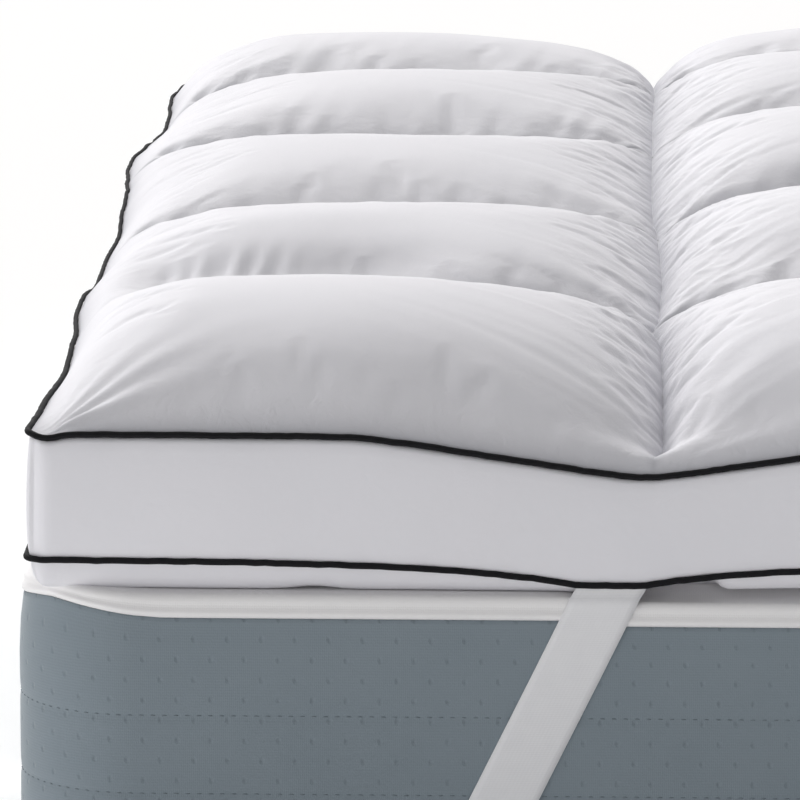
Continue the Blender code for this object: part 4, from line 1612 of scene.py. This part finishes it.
def strap_path(distance):
    """Centres and half-width vectors of a strap, measured in from the mattress's corner."""
    profile = [(STRAP_START_INSET, MATTRESS_TOP)] + panel_profile()[6:-4] + border_profile()[1:]
    profile.append((BORDER_ROUND + STRAP_RUN_UNDER, MATTRESS_FOOT))
    down = run_along(np.array(profile))
    places = offset_profile(profile, distance)
    from_corner = STRAP_FROM_CORNER - down * math.tan(STRAP_SLANT)
    centres = np.column_stack([from_corner, places])
    halves = np.zeros_like(centres)
    halves[:, 0] = STRAP_WIDTH / 2 / math.cos(STRAP_SLANT)
    start = centres[-1]
    chord = (start[0] - start[1]) * math.sqrt(2)
    turn = math.pi / 2 - 2 * STRAP_SLANT
    radius = chord / 2 / math.sin(turn / 2)
    reach = 2 * radius * math.sin(turn / STRAP_BEND_STEPS / 2)
    under_centres, under_halves = [], []
    place = start.copy()
    for step in range(1, STRAP_BEND_STEPS):
        share = step / STRAP_BEND_STEPS
        middle = STRAP_SLANT + turn * (share - 0.5 / STRAP_BEND_STEPS)
        place = place + np.array([-math.sin(middle), math.cos(middle), 0]) * reach
        skew = STRAP_SLANT * (1 - 2 * share)
        lean = STRAP_SLANT + turn * share - skew
        under_centres.append(place)
        direction = np.array([math.cos(lean), math.sin(lean), 0])
        under_halves.append(direction * STRAP_WIDTH / 2 / math.cos(skew))
    swap = [1, 0, 2]
    centres = np.concatenate([centres, under_centres, centres[::-1][:, swap]])
    halves = np.concatenate([halves, under_halves, halves[::-1][:, swap]])
    return centres, halves


def make_strap(name, side_x, side_y):
    """A flat woven elastic round one corner, as a closed band with soft edges."""
    inner, half = strap_path(GAP)
    outer, _ = strap_path(GAP + STRAP_THICKNESS)
    across = np.linspace(-1, 1, STRAP_STRANDS + 1)
    section = np.concatenate([across, across[::-1]])
    crown = 1 - STRAP_EDGE_THINNING * np.abs(across[::-1]) ** 6
    crown = np.concatenate([np.zeros(len(across)), crown])
    points = inner[:, None] + (outer - inner)[:, None] * crown[:, None]
    points = points + half[:, None] * section[:, None]
    points[..., 0] = side_x * (MATTRESS_WIDTH / 2 - points[..., 0])
    points[..., 1] = side_y * (MATTRESS_LENGTH / 2 - points[..., 1])
    count = len(section)
    faces = []
    for step in range(len(points) - 1):
        ring = np.arange(count) + step * count
        faces += band_faces(ring, ring + count)
    faces.append(list(range(count))[::-1])
    faces.append(list(range(len(points) * count - count, len(points) * count)))
    if side_x * side_y < 0:
        faces = [face[::-1] for face in faces]
    run = run_along((inner + outer) / 2)
    uv = np.stack(np.broadcast_arrays(section[None, :] * STRAP_WIDTH / 2, run[:, None]), axis=-1)
    strap = mesh_object(name, points.reshape(-1, 3), faces, uv.reshape(-1, 2))
    return strap, float(run[-1])


# ---------------------------------------------------------------- stage and light

FLOOR_HALF = 30.0
FLOOR_COLOUR = (0.95, 0.95, 0.95)
FLOOR_ROUGHNESS = 0.9
FLOOR_GLOW = 0.09
# The world is brighter towards one side, with a bright ring along the horizon that leans too.
LIGHT_SIDE = (-0.15, 0.66, 0.72)
WORLD_DIM = 0.05
WORLD_BRIGHT = 0.45
WORLD_DIM_FROM = -0.3
WORLD_RING = 1.03
WORLD_RING_NARROWNESS = 3.0
RING_SIDE = (-1.30, -0.65, 0.0)
KEY_FROM = (-0.18, 0.82, 0.55)
KEY_STRENGTH = 2.85
KEY_COLOUR = (1.0, 0.985, 0.975)
KEY_SOFTNESS = math.radians(40)


def make_stage():
    """Plain pale floor, soft world and one soft sun."""
    corners = [(x * FLOOR_HALF, y * FLOOR_HALF, 0) for x, y in ((-1, -1), (1, -1), (1, 1), (-1, 1))]
    floor = mesh_object("floor", np.array(corners, float), [[0, 1, 2, 3]], smooth=False)
    material, _, shader = new_material("pale_floor", FLOOR_COLOUR, FLOOR_ROUGHNESS)
    shader.inputs["Emission Color"].default_value = (1.0, 1.0, 1.0, 1.0)
    shader.inputs["Emission Strength"].default_value = FLOOR_GLOW
    set_material(floor, material)
    world = bpy.data.worlds.new("studio")
    world.use_nodes = True
    tree = world.node_tree
    place = add_node(tree, "ShaderNodeTexCoord").outputs["Generated"]
    toward = add_node(
        tree, "ShaderNodeVectorMath", {0: place, 1: LIGHT_SIDE}, operation="DOT_PRODUCT",
    )
    glow = add_node(
        tree, "ShaderNodeMapRange",
        {
            "Value": toward.outputs["Value"],
            "From Min": WORLD_DIM_FROM,
            "From Max": 1.0,
            "To Min": WORLD_DIM,
            "To Max": WORLD_BRIGHT,
        },
    )
    height = add_node(tree, "ShaderNodeSeparateXYZ", {0: place}).outputs["Z"]
    low = math_node(tree, "SUBTRACT", 1.0, math_node(tree, "ABSOLUTE", height))
    lean = add_node(tree, "ShaderNodeVectorMath", {0: place, 1: RING_SIDE}, operation="DOT_PRODUCT")
    narrow = math_node(tree, "POWER", low, WORLD_RING_NARROWNESS)
    ring = math_node(tree, "MULTIPLY", narrow, WORLD_RING)
    lean = math_node(tree, "MAXIMUM", math_node(tree, "ADD", lean.outputs["Value"], 1.0), 0.0)
    ring = math_node(tree, "MULTIPLY", ring, lean)
    glow = math_node(tree, "ADD", glow.outputs[0], ring)
    background = tree.nodes["Background"]
    tree.links.new(glow, background.inputs["Strength"])
    background.inputs["Color"].default_value = (1.0, 1.0, 1.0, 1.0)
    bpy.context.scene.world = world
    key = bpy.data.lights.new("key", "SUN")
    key.energy = KEY_STRENGTH
    key.color = KEY_COLOUR
    key.angle = KEY_SOFTNESS
    sun = link("key", key)
    sun.rotation_euler = Vector(KEY_FROM).to_track_quat("Z", "Y").to_euler()


# ---------------------------------------------------------------- putting it together


def dress_topper():
    """Quilted columns, box and piping, in place of the plain solids, and the quilting stitches."""
    cotton = cotton_material()
    charcoal = cord_material()
    places = (stations(POCKETS_ACROSS, SETTLE_CELLS[0]), stations(POCKETS_ALONG, SETTLE_CELLS[1]))
    shift = settled_shift(*np.meshgrid(*places, indexing="ij"))
    pads = [column_strip(column, shift, places) for column in range(POCKETS_ACROSS)]
    pads.append(make_box())
    for pad in pads:
        set_material(pad, cotton)
        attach(pad, "root")
        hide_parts("topper_body")
    across, along = outline_places(WALL_CELLS)
    tree = cord_tree()
    edges = {"top": quilted_point(across, along), "bottom": bottom_edge(across, along)}
    for place, edge in edges.items():
        cord = make_piping(place + "_piping_cord", edge, tree, charcoal)
        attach(cord, "root")
        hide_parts(place + "_piping")
    seams = path_curve("seam_path", seam_lines(), False)
    inputs = {"Thread": thread_material("white_thread", WHITE_THREAD)}
    stitches = baked(seams, stitch_tree(), "quilting_stitches", inputs)
    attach(stitches, "root")


def dress_mattress():
    """Panel, quilted border, its stitches and the four straps."""
    panel = make_mattress_piece("mattress_upper_panel", panel_profile(), lambda height: 0.0)
    border = make_mattress_piece("mattress_quilted_border", border_profile(), channel)
    for piece, material, node, slot in (
        (panel, panel_material(), "mattress_panel", "white_ticking"),
        (border, border_material(), "mattress_border", "grey_ticking"),
    ):
        set_material(piece, material)
        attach(piece, "root")
        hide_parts(node)
    sunk = QUILT_DEPTH - STITCH_PROUD
    lines = [mattress_outline(border_inset(line) + sunk, line) for line in QUILT_LINES]
    inputs = {"Thread": thread_material("grey_thread", GREY_THREAD), **BORDER_STITCH}
    border_path = path_curve("border_path", lines, True)
    stitches = baked(border_path, stitch_tree(), "border_stitches", inputs)
    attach(stitches, "root")
    elastic = elastic_material()
    for end, side_y in (("front", -1), ("back", 1)):
        for side, side_x in (("left", -1), ("right", 1)):
            strap, length = make_strap(f"elastic_{end}_{side}", side_x, side_y)
            set_material(strap, elastic)
            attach(strap, "root")
            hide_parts(f"strap_{end}_{side}")


make_camera()
make_stage()
dress_topper()
dress_mattress()
bpy.context.scene.view_settings.view_transform = "Standard"
